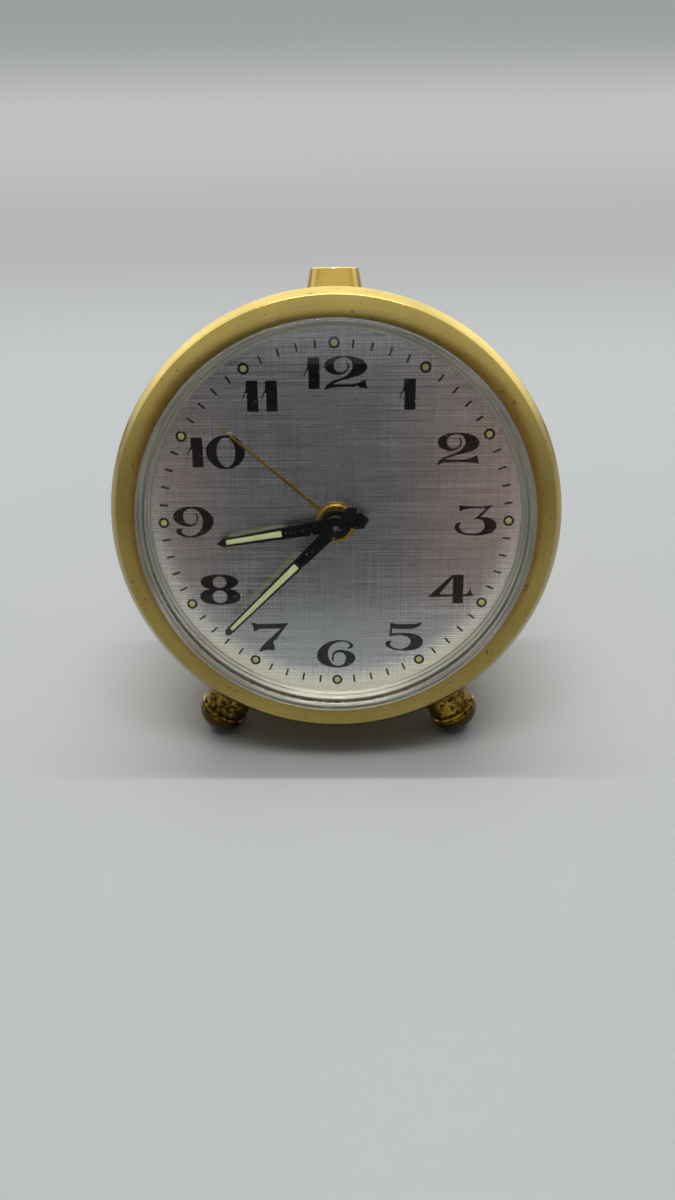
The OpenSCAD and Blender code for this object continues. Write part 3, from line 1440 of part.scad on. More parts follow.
// Hammer: anchor between the plates, arm, head and tail behind the rear plate
module hammer() {
  anchor_z = alarm_escape_z + pin_gap + 0.7;
  anchor_t = 0.6;
  anchor_arm_w = 1.2;
  crossbar_w = 1;
  pin_x = anchor_gap - alarm_escape_r + 0.45;
  pin_half = 2.2;
  pin_r = 0.25;
  pin_z = alarm_escape_z + pin_gap;
  t = 1;
  hub_r = 1.3;
  arm_w = 1.1;
  arbor_end_gap = 0.1;
  arbor_front_z = front_back_z - arbor_end_gap;
  color(steel) at(hammer_pos) {
    translate([0, 0, stop_z - t]) cylinder(r = arbor_r, h = arbor_front_z - stop_z + t);
    translate([0, 0, arbor_front_z - bite])
      cylinder(r = pivot_r, h = tenon_depth + arbor_end_gap + bite);
    rotate(heading(hammer_pos, alarm_escape_pos)) {
      translate([0, 0, anchor_z]) {
        bar([0, 0], [pin_x, 0], anchor_arm_w, anchor_t);
        bar([pin_x, -pin_half], [pin_x, pin_half], crossbar_w, anchor_t);
      }
      for (side = [-1, 1]) translate([pin_x, side * pin_half, pin_z])
        cylinder(r = pin_r, h = anchor_z - pin_z + bite, $fn = 24);
    }
    translate([0, 0, stop_z - t]) {
      cylinder(r = hub_r, h = t);
      bar([0, 0], polar(hammer_len, hammer_arm_dir), arm_w, t);
      bar([0, 0], polar(hammer_tail_len, hammer_tail_dir), hammer_tail_w, t);
    }
    at(polar(hammer_len, hammer_arm_dir), stop_z - t / 2 - hammer_head_len / 2)
      cylinder(r = hammer_head_r, h = hammer_head_len);
  }
}

stand() case_drum();
stand() bezel();
stand() crystal();
stand() reflector_ring();
stand() dial();
stand() hour_dots();
stand() back_cover();
stand() cover_screws();
foot(-1);  // left_foot
foot(1);  // right_foot
stand() foot_nuts();
stand() alarm_button();
stand() stop_lever();
stand() at(barrel_pos, key_front_z) key();  // time_key
stand() at(alarm_barrel_pos, key_front_z) key();  // alarm_key
stand() translate([0, 0, knob_front_z]) knob(minute_arbor_r);  // hand_setting_knob
stand() at(setting_pos, knob_front_z) knob(setting_arbor_r);  // alarm_setting_knob
stand() regulator();
stand() minute_hand();
stand() minute_hand_lume();
stand() hour_hand();
stand() hour_hand_lume();
stand() alarm_hand();
stand() minute_arbor();
stand() minute_wheel();
stand() hour_wheel();
stand() alarm_wheel();
stand() alarm_setting_arbor();
stand() release_spring();
stand() front_plate();
stand() rear_plate();
stand() pillars();
stand() cover_posts();
stand() at(barrel_pos) barrel(180);  // time_barrel
stand() at(barrel_pos) barrel_cover();  // time_barrel_cover
stand() at(barrel_pos) mainspring();  // time_mainspring
stand() at(barrel_pos) barrel_arbor();  // time_barrel_arbor
stand() at(barrel_pos) ratchet_wheel();  // time_ratchet_wheel
stand() at(barrel_pos) click();  // time_click
stand() centre_wheel();
stand() clutch_spring();
stand() third_wheel();
stand() third_arbor();
stand() fourth_wheel();
stand() fourth_arbor();
stand() escape_wheel();
stand() escape_arbor();
stand() pallet_lever();
stand() balance_wheel();
stand() balance_staff();
stand() hairspring();
stand() at(alarm_barrel_pos) barrel(0);  // alarm_barrel
stand() at(alarm_barrel_pos) barrel_cover();  // alarm_barrel_cover
stand() at(alarm_barrel_pos) mainspring();  // alarm_mainspring
stand() at(alarm_barrel_pos) barrel_arbor();  // alarm_barrel_arbor
stand() at(alarm_barrel_pos) ratchet_wheel();  // alarm_ratchet_wheel
stand() at(alarm_barrel_pos) click();  // alarm_click
stand() alarm_escape_wheel();
stand() hammer();
stand() click_screws();
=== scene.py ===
import math

import bpy
from mathutils import Matrix, Vector


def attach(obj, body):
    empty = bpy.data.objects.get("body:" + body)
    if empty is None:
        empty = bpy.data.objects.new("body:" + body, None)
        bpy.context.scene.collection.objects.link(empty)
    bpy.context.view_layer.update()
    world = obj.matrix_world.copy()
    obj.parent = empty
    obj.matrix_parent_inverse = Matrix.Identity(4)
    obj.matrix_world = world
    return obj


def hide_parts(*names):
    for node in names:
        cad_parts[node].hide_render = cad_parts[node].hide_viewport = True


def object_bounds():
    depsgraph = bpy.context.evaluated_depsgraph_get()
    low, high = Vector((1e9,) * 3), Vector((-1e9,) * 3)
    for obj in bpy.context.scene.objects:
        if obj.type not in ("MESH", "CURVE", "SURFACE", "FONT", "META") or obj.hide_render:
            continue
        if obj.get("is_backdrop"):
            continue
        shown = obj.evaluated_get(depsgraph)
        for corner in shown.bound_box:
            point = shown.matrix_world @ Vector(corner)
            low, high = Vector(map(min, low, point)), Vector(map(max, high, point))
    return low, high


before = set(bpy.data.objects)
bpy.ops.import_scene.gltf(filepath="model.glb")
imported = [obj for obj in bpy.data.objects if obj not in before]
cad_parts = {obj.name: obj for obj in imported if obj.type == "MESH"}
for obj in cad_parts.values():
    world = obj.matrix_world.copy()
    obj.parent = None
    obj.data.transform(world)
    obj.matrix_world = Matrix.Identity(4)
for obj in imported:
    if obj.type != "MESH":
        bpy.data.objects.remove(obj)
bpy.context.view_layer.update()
bpy.ops.object.select_all(action="DESELECT")

# Drum
# The case is a tube drawn from sheet brass, with an in-turned flange that carries the dial.
# Its outside was polished on a lathe and lacquered, so fine scratches run round it.
MM = 0.001
LEAN = math.radians(14)
STANCE = Matrix.Translation((0, -14.014 * MM, 40.246 * MM)) @ Matrix.Rotation(math.pi / 2 - LEAN, 4, "X")


def linear(code):
    """Linear colour, with alpha, of an sRGB hex code."""
    parts = [int(code[i:i + 2], 16) / 255 for i in (1, 3, 5)]
    return [p / 12.92 if p <= 0.04045 else ((p + 0.055) / 1.055) ** 2.4 for p in parts] + [1.0]


def add(material, kind, inputs, **settings):
    """Adds a node; its inputs are values or the sockets that feed them."""
    node = material.node_tree.nodes.new("ShaderNode" + kind)
    for name, value in settings.items():
        setattr(node, name, value)
    for key, value in inputs.items():
        if isinstance(value, bpy.types.NodeSocket):
            material.node_tree.links.new(value, node.inputs[key])
        else:
            node.inputs[key].default_value = value
    return node


def blank(name):
    """New material with nothing in it."""
    material = bpy.data.materials.new(name)
    material.use_nodes = True
    material.node_tree.nodes.clear()
    return material


def on_dial(material):
    """Position in the clock's own frame in millimetres: Z out of the dial, Y to twelve."""
    where = add(material, "TexCoord", {})
    return add(material, "Mapping", {
        "Vector": where.outputs["Object"], "Location": STANCE.translation,
        "Rotation": STANCE.to_euler(), "Scale": (MM, MM, MM)}, vector_type="TEXTURE").outputs[0]


def around(material, along, across, centre=(0, 0, 0)):
    """Noise position for lathe marks: long round the axis through centre, short across it."""
    arm = add(material, "VectorMath", {0: on_dial(material), 1: centre}, operation="SUBTRACT")
    flat = add(material, "VectorMath", {0: arm.outputs[0], 1: (1, 1, 0)}, operation="MULTIPLY")
    turn = add(material, "VectorMath", {0: flat.outputs[0]}, operation="NORMALIZE")
    radius = add(material, "VectorMath", {0: flat.outputs[0]}, operation="LENGTH")
    depth = add(material, "SeparateXYZ", {0: arm.outputs[0]})
    level = add(material, "Math", {0: depth.outputs[2], 1: 0.7, 2: radius.outputs["Value"]},
                operation="MULTIPLY_ADD")
    cut = add(material, "Math", {0: level.outputs[0], 1: across}, operation="MULTIPLY")
    lift = add(material, "CombineXYZ", {2: cut.outputs[0]})
    return add(material, "VectorMath", {0: turn.outputs[0], 1: (along,) * 3, 2: lift.outputs[0]},
               operation="MULTIPLY_ADD").outputs[0]


def metal(material, grain, tones, roughness, groove, stain=0.35, lacquer=0.0):
    """Bare or lacquered metal: grain is where its tool marks lie, groove their depth."""
    marks = add(material, "TexNoise", {"Vector": grain, "Scale": 1.0, "Detail": 5.0, "Roughness": 0.65})
    cloud = add(material, "TexNoise", {"Vector": on_dial(material), "Scale": 0.12, "Detail": 4.0})
    blend = add(material, "Math", {0: cloud.outputs[0], 1: marks.outputs[0]}, operation="ADD")
    share = add(material, "MapRange", {"Value": blend.outputs[0], 1: 1 - stain, 2: 1 + stain})
    colour = add(material, "MixRGB", {"Fac": share.outputs[0], 1: linear(tones[0]), 2: linear(tones[1])})
    rough = add(material, "MapRange", {
        "Value": marks.outputs[0], 1: 0.3, 2: 0.7, 3: roughness[0], 4: roughness[1]})
    bump = add(material, "Bump", {"Height": marks.outputs[0], "Strength": 1.0, "Distance": groove * MM})
    shader = add(material, "BsdfPrincipled", {
        "Base Color": colour.outputs[0], "Metallic": 1.0, "Roughness": rough.outputs[0],
        "Normal": bump.outputs[0], "Coat Weight": lacquer, "Coat Roughness": 0.12})
    add(material, "OutputMaterial", {0: shader.outputs[0]})
    return shader


def dress(material, *names):
    """Gives a material to CAD nodes or new pieces."""
    for name in names:
        piece = bpy.data.objects[name]
        piece.data.materials.clear()
        piece.data.materials.append(material)


# Satin lacquered brass: a warm yellow with soft streaks round the tube.
drum_brass = blank("satin_lacquered_brass")
metal(drum_brass, around(drum_brass, 1.5, 9.0), ("#C8AA56", "#AC8F42"), (0.24, 0.36), 0.004, lacquer=0.5)
dress(drum_brass, "case_drum")

# Movement
# Round plates on four pillars hold the wheels, barrels, pallet lever and balance. Plates and
# wheels are brass, grained with emery, arbors and levers ground steel, springs blued steel.


def stretched(material, scale):
    """Noise position with its own number of marks per millimetre along X, Y and Z."""
    return add(material, "VectorMath", {0: on_dial(material), 1: scale}, operation="MULTIPLY").outputs[0]


# Grained brass: fine straight scratches one way, paler than the lacquered case.
plate_brass = blank("grained_plate_brass")
metal(plate_brass, stretched(plate_brass, (0.3, 7, 3)), ("#D9BC6C", "#C6A452"), (0.25, 0.4), 0.004)
dress(plate_brass, "front_plate", "rear_plate", "pillars", "time_barrel", "time_barrel_cover",
      "alarm_barrel", "alarm_barrel_cover", "centre_wheel", "third_wheel", "fourth_wheel", "escape_wheel",
      "alarm_escape_wheel", "balance_wheel", "minute_wheel", "hour_wheel")
# Ground steel: neutral grey with short marks round the shafts.
steel = blank("ground_steel")
metal(steel, stretched(steel, (6, 6, 0.6)), ("#B9BABD", "#9C9EA2"), (0.2, 0.35), 0.003)
dress(steel, "foot_nuts", "stop_lever", "regulator", "minute_arbor", "alarm_setting_arbor", "cover_posts",
      "time_barrel_arbor", "time_ratchet_wheel", "time_click", "third_arbor", "fourth_arbor", "escape_arbor",
      "pallet_lever", "balance_staff", "alarm_barrel_arbor", "alarm_ratchet_wheel", "alarm_click", "hammer",
      "click_screws", "cover_screws")
# Blued steel: heat-blued springs, dark blue with a soft sheen.
blued = blank("blued_spring_steel")
metal(blued, stretched(blued, (1, 1, 6)), ("#39456B", "#232A45"), (0.2, 0.32), 0.002)
dress(blued, "release_spring", "time_mainspring", "clutch_spring", "hairspring", "alarm_mainspring")

# Back cover
# A brass cover pressed into the rear of the drum, spun to a circular grain and held by four
# screws, with holes for keys and knobs, an arc slot for the regulator and five sound holes.


def spots(material, shader, tone, size, amount):
    """Marks a finish with small round spots, size millimetres apart; amount thins them out."""
    field = add(material, "TexNoise", {"Vector": on_dial(material), "Scale": 1 / size, "Detail": 2.0})
    mask = add(material, "MapRange", {"Value": field.outputs[0], 1: amount, 2: amount + 0.05})
    clean = shader.inputs["Base Color"].links[0].from_socket
    colour = add(material, "MixRGB", {"Fac": mask.outputs[0], 1: clean, 2: linear(tone)})
    material.node_tree.links.new(colour.outputs[0], shader.inputs["Base Color"])


# Spun brass: rings about the centre, a little duller than the front.
cover_brass = blank("spun_brass_sheet")
cover_shader = metal(cover_brass, around(cover_brass, 1.5, 7.0), ("#C2A353", "#A4873E"), (0.26, 0.4), 0.004)
spots(cover_brass, cover_shader, "#6E5626", 1.4, 0.7)
dress(cover_brass, "back_cover")

# Keys and knobs
# Two butterfly keys wind the springs and two fluted knobs set the hands and the alarm. They
# are cast or turned brass, rubbed bright by fingers.
key_brass = blank("handled_brass")
metal(key_brass, stretched(key_brass, (2.5, 2.5, 2.5)), ("#CFAE58", "#B08E3E"), (0.2, 0.34), 0.006)
dress(key_brass, "time_key", "alarm_key", "hand_setting_knob", "alarm_setting_knob")

# Feet
# Two feet turned from brass bar, each a neck, a bead and a domed head on a threaded stud. The
# head is coloured a darker brown than the neck and bead, which are gold in places. It is
# worn flat where it stands on the table.


def turned(name, loops, steps=192, ends="base"):
    """Turned piece from (radius, height) loops in millimetres; radius 0 closes it at a pole.
    Its first loop is filled as a base, bridged to the last one as a ring, or left open."""
    radius, height = loops[0]
    bpy.ops.mesh.primitive_circle_add(vertices=steps, radius=radius * MM, location=(0, 0, height * MM))
    piece = bpy.context.object
    piece.name = name
    bpy.ops.object.transform_apply(location=True)
    bpy.ops.object.mode_set(mode="EDIT")
    bpy.ops.mesh.select_mode(type="EDGE")
    bpy.ops.mesh.select_all(action="SELECT")
    for (r0, z0), (r1, z1) in zip(loops, loops[1:]):
        bpy.ops.mesh.extrude_region_move(TRANSFORM_OT_translate={"value": (0, 0, (z1 - z0) * MM)})
        if r1:
            bpy.ops.transform.resize(value=(r1 / r0, r1 / r0, 1), center_override=(0, 0, z1 * MM))
        else:
            bpy.ops.mesh.merge(type="COLLAPSE")
    bpy.ops.mesh.select_all(action="DESELECT")
    bpy.ops.mesh.select_non_manifold(extend=False)
    if ends == "ring":
        bpy.ops.mesh.bridge_edge_loops()
    elif ends == "base":
        bpy.ops.mesh.edge_face_add()
    bpy.ops.mesh.select_all(action="SELECT")
    bpy.ops.mesh.normals_make_consistent(inside=False)
    bpy.ops.object.mode_set(mode="OBJECT")
    return piece


def join(*group):
    """Joins pieces into the first one, with its place in its mesh."""
    bpy.ops.object.select_all(action="DESELECT")
    for one in group:
        one.select_set(True)
    bpy.context.view_layer.objects.active = group[0]
    if len(group) > 1:
        bpy.ops.object.join()
    bpy.ops.object.transform_apply(location=True, rotation=True, scale=True)
    return group[0]


def seat(piece, body, *replaced):
    """Stands a piece drawn in the clock's frame in its place, on its body."""
    piece.matrix_world = STANCE @ piece.matrix_world
    join(piece)
    bpy.ops.object.shade_smooth_by_angle(angle=math.radians(28))
    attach(piece, body)
    if replaced:
        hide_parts(*replaced)
    bpy.ops.object.select_all(action="DESELECT")


FOOT_ANGLE = math.radians(29.5)
FOOT_BACK = 7
FOOT_REACH = 41.53
HEAD_R, HEAD_LEN = 4.15, 3.4
foot_shape = [(1.25, 30.3), (1.25, 33.0), (3.95, 33.0), (3.95, 40.35), (3.83, 40.5), (3.83, 40.6),
              (4.1, 40.7), (4.26, 40.86), (4.3, 41.06), (4.25, 41.26), (4.1, 41.4), (4.0, 41.44),
              (4.0, 41.52), (4.13, 41.6)]
foot_shape += [(HEAD_R * math.cos(math.radians(a)), FOOT_REACH + HEAD_LEN * math.sin(math.radians(a)))
               for a in range(5, 90, 5)]
table_in_clock = STANCE.inverted()
for name, side in (("left", -1), ("right", 1)):
    foot = turned(name + "_turned_foot", foot_shape + [(0, FOOT_REACH + HEAD_LEN)], steps=96)
    foot.matrix_world = (Matrix.Translation((0, 0, -FOOT_BACK * MM))
                         @ Matrix.Rotation(side * FOOT_ANGLE - math.pi / 2, 4, "Z")
                         @ Matrix.Rotation(math.pi / 2, 4, "Y"))
    join(foot)
    bpy.ops.object.mode_set(mode="EDIT")
    bpy.ops.mesh.select_all(action="SELECT")
    bpy.ops.mesh.bisect(plane_co=table_in_clock.translation,
                        plane_no=table_in_clock.to_3x3() @ Vector((0, 0, 1)),
                        use_fill=True, clear_inner=True, threshold=1e-7)
    bpy.ops.object.mode_set(mode="OBJECT")
    seat(foot, "case", name + "_foot")
# Tarnished brass: gold where it is rubbed, coloured darker brown on the head, with dark specks.
tarnish = blank("tarnished_turned_brass")
tarnish_shader = metal(tarnish, stretched(tarnish, (1.3, 1.3, 1.3)), ("#B8973F", "#33260D"),
                       (0.08, 0.26), 0.02, stain=0.14)
reach = add(tarnish, "VectorMath", {
    0: add(tarnish, "VectorMath", {0: on_dial(tarnish), 1: (1, 1, 0)}, operation="MULTIPLY").outputs[0]},
    operation="LENGTH")
on_head = add(tarnish, "MapRange", {"Value": reach.outputs["Value"], 1: FOOT_REACH - 0.3, 2: FOOT_REACH + 0.6})
gold = tarnish_shader.inputs["Base Color"].links[0].from_socket
brown = add(tarnish, "MixRGB", {"Fac": on_head.outputs[0], 1: gold, 2: linear("#4A3A18")})
tarnish.node_tree.links.new(brown.outputs[0], tarnish_shader.inputs["Base Color"])
spots(tarnish, tarnish_shader, "#1E150A", 0.9, 0.62)
dress(tarnish, "left_turned_foot", "right_turned_foot")

# Alarm button
# The stop button is turned from brass bar, tapered and polished, on a stem through the
# drum that ends in a yoke over the stop lever.

# Polished brass: nearly a mirror, with a few fine marks round the button.
button_brass = blank("polished_brass")
metal(button_brass, stretched(button_brass, (0.6, 5, 0.6)), ("#D6B65C", "#BC9A43"), (0.05, 0.12), 0.001,
      lacquer=0.3)
dress(button_brass, "alarm_button")

# Dial
# An aluminium plate brushed both ways like linen and lacquered. The numerals, minute marks
# and dot rims are printed on it in black ink.

# Linen-brushed aluminium: silver, with crossed bright and dark hairs that spread the light. The
# hairs are about 0.05 mm apart, drawn at 0.12 mm so that they show. Its lower rim has painted
# light: it is painted more matt and creamier, where light through the thick edge of the glass falls.
HAIRS_PER_MM = 8
LIT_RIM_FROM, LIT_RIM_TO = 25.8, 29.2
dial_metal = blank("linen_brushed_aluminium")
weft = add(dial_metal, "TexNoise", {
    "Vector": stretched(dial_metal, (0.035, HAIRS_PER_MM, 0)), "Scale": 1.0, "Detail": 3.0, "Roughness": 0.8})
warp = add(dial_metal, "TexNoise", {
    "Vector": stretched(dial_metal, (HAIRS_PER_MM, 0.05, 0)), "Scale": 1.0, "Detail": 3.0, "Roughness": 0.8})
cloth = add(dial_metal, "Math", {0: warp.outputs[0], 1: 0.4, 2: weft.outputs[0]}, operation="MULTIPLY_ADD")
hairs = add(dial_metal, "MapRange", {"Value": cloth.outputs[0], 1: 0.62, 2: 0.95})
brushed = add(dial_metal, "MixRGB", {"Fac": hairs.outputs[0], 1: linear("#BDBBBF"), 2: linear("#FFFEFE")})
spot = on_dial(dial_metal)
# Painted light: the rim, most at the bottom, is painted cream and less metallic, a pool of light from the
# crystal's edge.
off_centre = add(dial_metal, "VectorMath", {0: spot, 1: (0, 1.5, 0)}, operation="DISTANCE")
outer = add(dial_metal, "MapRange", {"Value": off_centre.outputs["Value"], 1: LIT_RIM_FROM, 2: LIT_RIM_TO},
            interpolation_type="SMOOTHSTEP")
upright = add(dial_metal, "SeparateXYZ", {0: spot})
low = add(dial_metal, "MapRange", {"Value": upright.outputs[1], 1: 14.0, 2: -24.0})
painted_rim_light = add(dial_metal, "Math", {0: outer.outputs[0], 1: low.outputs[0]}, operation="MULTIPLY")
dial_tone = add(dial_metal, "MixRGB", {
    "Fac": painted_rim_light.outputs[0], 1: brushed.outputs[0], 2: linear("#EDE8D6")})
dial_sheen = add(dial_metal, "MapRange", {"Value": painted_rim_light.outputs[0], 3: 1.0, 4: 0.2})
dial_rough = add(dial_metal, "MapRange", {"Value": cloth.outputs[0], 1: 0.4, 2: 1.0, 3: 0.18, 4: 0.34})
dial_bump = add(dial_metal, "Bump", {"Height": cloth.outputs[0], "Strength": 1.0, "Distance": 0.005 * MM})
dial_shader = add(dial_metal, "BsdfPrincipled", {
    "Base Color": dial_tone.outputs[0], "Metallic": dial_sheen.outputs[0], "Roughness": dial_rough.outputs[0],
    "Normal": dial_bump.outputs[0]})
add(dial_metal, "OutputMaterial", {0: dial_shader.outputs[0]})
dress(dial_metal, "dial")

# Numerals
# Wide numerals with heavy stems and hairline curls, screen printed in black. Each outline
# is a closed curve in millimetres from its left end and base line; "c" marks a corner.
INK = 0.02
GLYPHS = {
    "1": [[(-0.2, 4.57, "c"), (1.52, 4.57, "c"), (1.55, 0, "c"), (-0.15, 0, "c"), (-0.1, 2.8, "c"),
           (-0.31, 2.7), (-0.72, 1.83, "c"), (-0.85, 1.93, "c"), (-0.56, 2.7), (-0.3, 3.2, "c")]],
    "2": [[(0, 0, "c"), (0.43, 0.56), (1.47, 1.23), (3.04, 1.76), (4, 2.57), (4.24, 3.45), (3.8, 4.27),
           (2.66, 4.48), (1.72, 4.09), (1.48, 3.33), (1.85, 2.61), (2.51, 2.39), (3.16, 2.66), (3.48, 3.33),
           (3.26, 3.94, "c"), (3.41, 3.99, "c"), (3.72, 3.39), (3.39, 2.54), (2.41, 2.03), (1.03, 2.26),
           (0.18, 2.95), (0.22, 3.83), (1.22, 4.5), (2.8, 4.73), (4.67, 4.55), (5.95, 3.97), (6.38, 3.14),
           (5.8, 2.23), (4.17, 1.63), (2.41, 1.19), (1.28, 0.7, "c"), (3.16, 0.65), (4.92, 0.83),
           (6.13, 1.32, "c"), (6.45, 0.03, "c"), (4.67, 0.24), (2.16, 0.26), (0.78, 0.13), (0.15, -0.09)]],
    "3": [[(0.64, 4.85, "c"), (1.95, 4.7), (4.33, 4.68), (5.9, 4.87, "c"), (4.06, 3.01, "c"), (5.59, 2.74),
           (6.55, 1.76), (6.09, 0.6), (4.71, 0.1), (2.82, -0.03), (1.19, 0.25), (0.19, 0.88), (0.09, 1.57),
           (0.56, 2.03), (1.14, 2.06, "c"), (0.82, 1.76), (0.84, 1.13), (1.57, 0.5), (2.82, 0.28),
           (3.95, 0.5), (4.68, 1.26), (4.52, 2.13), (3.83, 2.61), (3.03, 2.56, "c"), (4.81, 4.27, "c"),
           (3.08, 4.37), (1.82, 4.22), (0.69, 3.88, "c")]],
    "4": [[(3.82, 4.8, "c"), (5.62, 4.8, "c"), (5.62, 1.51, "c"), (6.11, 1.57), (6.5, 2), (6.75, 2.62, "c"),
           (6.95, 1.88), (7.32, 1.23, "c"), (5.62, 1.16, "c"), (5.65, 0, "c"), (3.95, 0, "c"),
           (3.95, 1.13, "c"), (0.03, 1.05, "c"), (0.12, 1.28, "c")],
          [(3.95, 4.3, "c"), (3.95, 1.48, "c"), (1.9, 1.48, "c"), (1.93, 1.7, "c")]],
    "5": [[(0.82, 4.75, "c"), (1.82, 4.56), (3.58, 4.54), (5.08, 4.6), (5.91, 4.8, "c"), (5.92, 4.62),
           (5.34, 4.06), (4.33, 3.73), (2.82, 3.68), (1.12, 3.75, "c"), (1.12, 2.93, "c"), (2.82, 3),
           (4.58, 2.8), (5.84, 2.2), (6.19, 1.38), (5.71, 0.5), (4.33, -0.04), (2.57, -0.12), (0.96, 0.21),
           (0.06, 0.94), (0.11, 1.36), (0.56, 1.6), (1.28, 1.57, "c"), (0.84, 1.32), (0.94, 0.75),
           (1.82, 0.25), (2.82, 0.19), (3.7, 0.63), (4.14, 1.44), (3.83, 2.13), (3.08, 2.51), (2.07, 2.6),
           (1.19, 2.5), (0.64, 2.42, "c"), (0.77, 3.7)]],
    "6": [[(5.08, 3.52, "c"), (5.44, 3.79), (5.31, 4.23), (4.58, 4.57), (3.58, 4.52), (2.57, 4.04),
           (2.01, 3.29), (1.87, 2.35), (2.2, 1.28), (2.82, 0.53), (3.58, 0.28), (4.39, 0.59), (4.83, 1.66),
           (4.61, 2.35), (3.83, 2.69), (3.08, 2.47), (2.82, 1.85), (2.85, 1.09, "c"), (2.57, 1.05, "c"),
           (2.52, 1.91), (2.8, 2.72), (3.7, 3.14), (4.96, 2.99), (5.96, 2.54), (6.4, 1.72), (5.84, 0.74),
           (4.71, 0.15), (3.33, -0.01), (1.69, 0.3), (0.46, 1.05), (0.03, 2.1), (0.46, 3.27), (1.57, 4.3),
           (2.95, 4.8), (4.33, 4.83), (5.59, 4.47), (6.07, 3.92), (5.71, 3.44), (5.08, 3.34, "c")]],
    "7": [[(0, 5, "c"), (1, 4.74), (2.76, 4.66), (4.65, 4.74), (6.15, 4.8, "c"), (3.89, 1.82, "c"),
           (3.6, 1.65), (3.7, 0.82), (3.74, 0, "c"), (2.51, 0.09), (1.12, -0.2, "c"), (1.51, 0.56),
           (2.76, 1.88), (4.87, 3.88, "c"), (3.26, 3.87), (1.51, 3.77), (0.4, 3.35, "c"), (0.31, 4.08)]],
    "8": [[(3.3, 5), (5.12, 4.8), (6.3, 3.74), (5.62, 2.93), (4.9, 2.61, "c"), (6, 2.17), (6.56, 1.29),
           (5.88, 0.31), (4.49, -0.01), (2.36, -0.03), (0.75, 0.35), (0.05, 1.23), (0.5, 2.11),
           (1.66, 2.61, "c"), (0.75, 2.99), (0.27, 3.74), (0.75, 4.54), (1.98, 4.95)],
          [(3.3, 4.7), (4.4, 3.74), (3.3, 2.78), (2.2, 3.74)],
          [(3.24, 2.37), (4.42, 1.29), (3.24, 0.22), (2.07, 1.29)]],
    "9": [[(1.56, 1.33, "c"), (1.25, 1.13), (1.38, 0.58), (2.17, 0.21), (3.11, 0.27), (3.99, 0.88),
           (4.56, 1.88), (4.62, 2.89), (4.24, 3.89), (3.36, 4.54), (2.49, 4.52), (1.73, 3.89), (1.66, 2.95),
           (2.11, 2.26), (2.8, 2.03), (3.43, 2.32), (3.72, 2.95), (3.57, 3.82, "c"), (3.77, 3.79, "c"),
           (3.97, 3.2), (3.68, 2.32), (2.99, 1.76), (1.86, 1.73), (0.75, 2.2), (0.1, 2.95), (0.2, 3.81),
           (1.12, 4.56), (2.61, 4.9), (4.37, 4.75), (5.73, 3.87), (6.36, 2.76), (5.98, 1.51), (4.6, 0.38),
           (2.86, -0.06), (1.23, 0.15), (0.42, 0.77), (0.38, 1.13), (0.85, 1.38)]],
    "0": [[(3, 5.18), (4.9, 4.72), (5.98, 2.75), (4.9, 0.63), (3.12, 0), (1.1, 0.66), (0.03, 2.75),
           (1, 4.46)],
          [(3.14, 4.86), (4.19, 4.02), (4.47, 2.5), (4.05, 0.94), (3.14, 0.31), (2.13, 1.07), (1.66, 2.65),
           (2.2, 4.33)]],
}
NUMERALS = [
    ("1", -3.72, 20.35), ("2", -1.54, 20.35), ("1", 10.58, 17.2), ("2", 15.54, 8.98), ("3", 18.58, -2.32),
    ("4", 14.73, -13.62), ("5", 7.91, -21.72), ("6", -3.39, -24.82), ("7", -14, -21.72), ("8", -22.07, -13.6),
    ("9", -25.52, -2.32), ("1", -21.76, 8.73), ("0", -19.77, 8.41), ("1", -13, 17.08), ("1", -10.11, 17.08),
]


def cut_out(name, outlines, depth, level, edge=0.0):
    """Flat piece from closed outlines of (x, y) or (x, y, "c") points in millimetres, a round
    knot or a corner, with its lower face at level and its edges rounded by edge."""
    bpy.ops.curve.primitive_bezier_circle_add(radius=MM)
    piece = bpy.context.object
    piece.name = name
    flat = piece.data
    flat.dimensions = "2D"
    flat.fill_mode = "BOTH"
    flat.resolution_u = 8
    flat.extrude = (depth / 2 - edge) * MM
    flat.bevel_depth = edge * MM
    flat.bevel_resolution = 2
    flat.offset = -edge * MM
    flat.splines.clear()
    for outline in outlines:
        spline = flat.splines.new("BEZIER")
        spline.use_cyclic_u = True
        spline.bezier_points.add(len(outline) - 1)
        for knot, point in zip(spline.bezier_points, outline):
            knot.co = (point[0] * MM, point[1] * MM, 0)
            knot.handle_left_type = knot.handle_right_type = "VECTOR" if len(point) == 3 else "AUTO"
    bpy.ops.object.convert(target="MESH")
    piece = bpy.context.object
    piece.matrix_world = Matrix.Translation((0, 0, (level + depth / 2) * MM))
    return join(piece)


numerals = cut_out("printed_numerals", [
    [(left + point[0], base + point[1]) + point[2:] for point in outline]
    for glyph, left, base in NUMERALS for outline in GLYPHS[glyph]], INK, 0)
# Black screen ink: nearly matt, with a soft gloss from the lacquer over it.
ink = blank("black_screen_ink")
mottle = add(ink, "TexNoise", {"Vector": on_dial(ink), "Scale": 1.5, "Detail": 4.0})
ink_tone = add(ink, "MixRGB", {"Fac": mottle.outputs[0], 1: linear("#040406"), 2: linear("#0D0E12")})
ink_rough = add(ink, "MapRange", {"Value": mottle.outputs[0], 3: 0.3, 4: 0.45})
ink_shader = add(ink, "BsdfPrincipled", {
    "Base Color": ink_tone.outputs[0], "Roughness": ink_rough.outputs[0], "Specular IOR Level": 0.1})
add(ink, "OutputMaterial", {0: ink_shader.outputs[0]})
dress(ink, "printed_numerals")
seat(numerals, "case")

# Minute marks
# Forty-eight short printed strokes between the hour dots, in the same ink.


def soften(piece, width, angle=30, steps=3):
    """Rounds the edges that are sharper than angle."""
    bpy.context.view_layer.objects.active = piece
    edge = piece.modifiers.new("edges", "BEVEL")
    edge.width = width * MM
    edge.segments = steps
    edge.limit_method = "ANGLE"
    edge.angle_limit = math.radians(angle)
    bpy.ops.object.modifier_apply(modifier=edge.name)


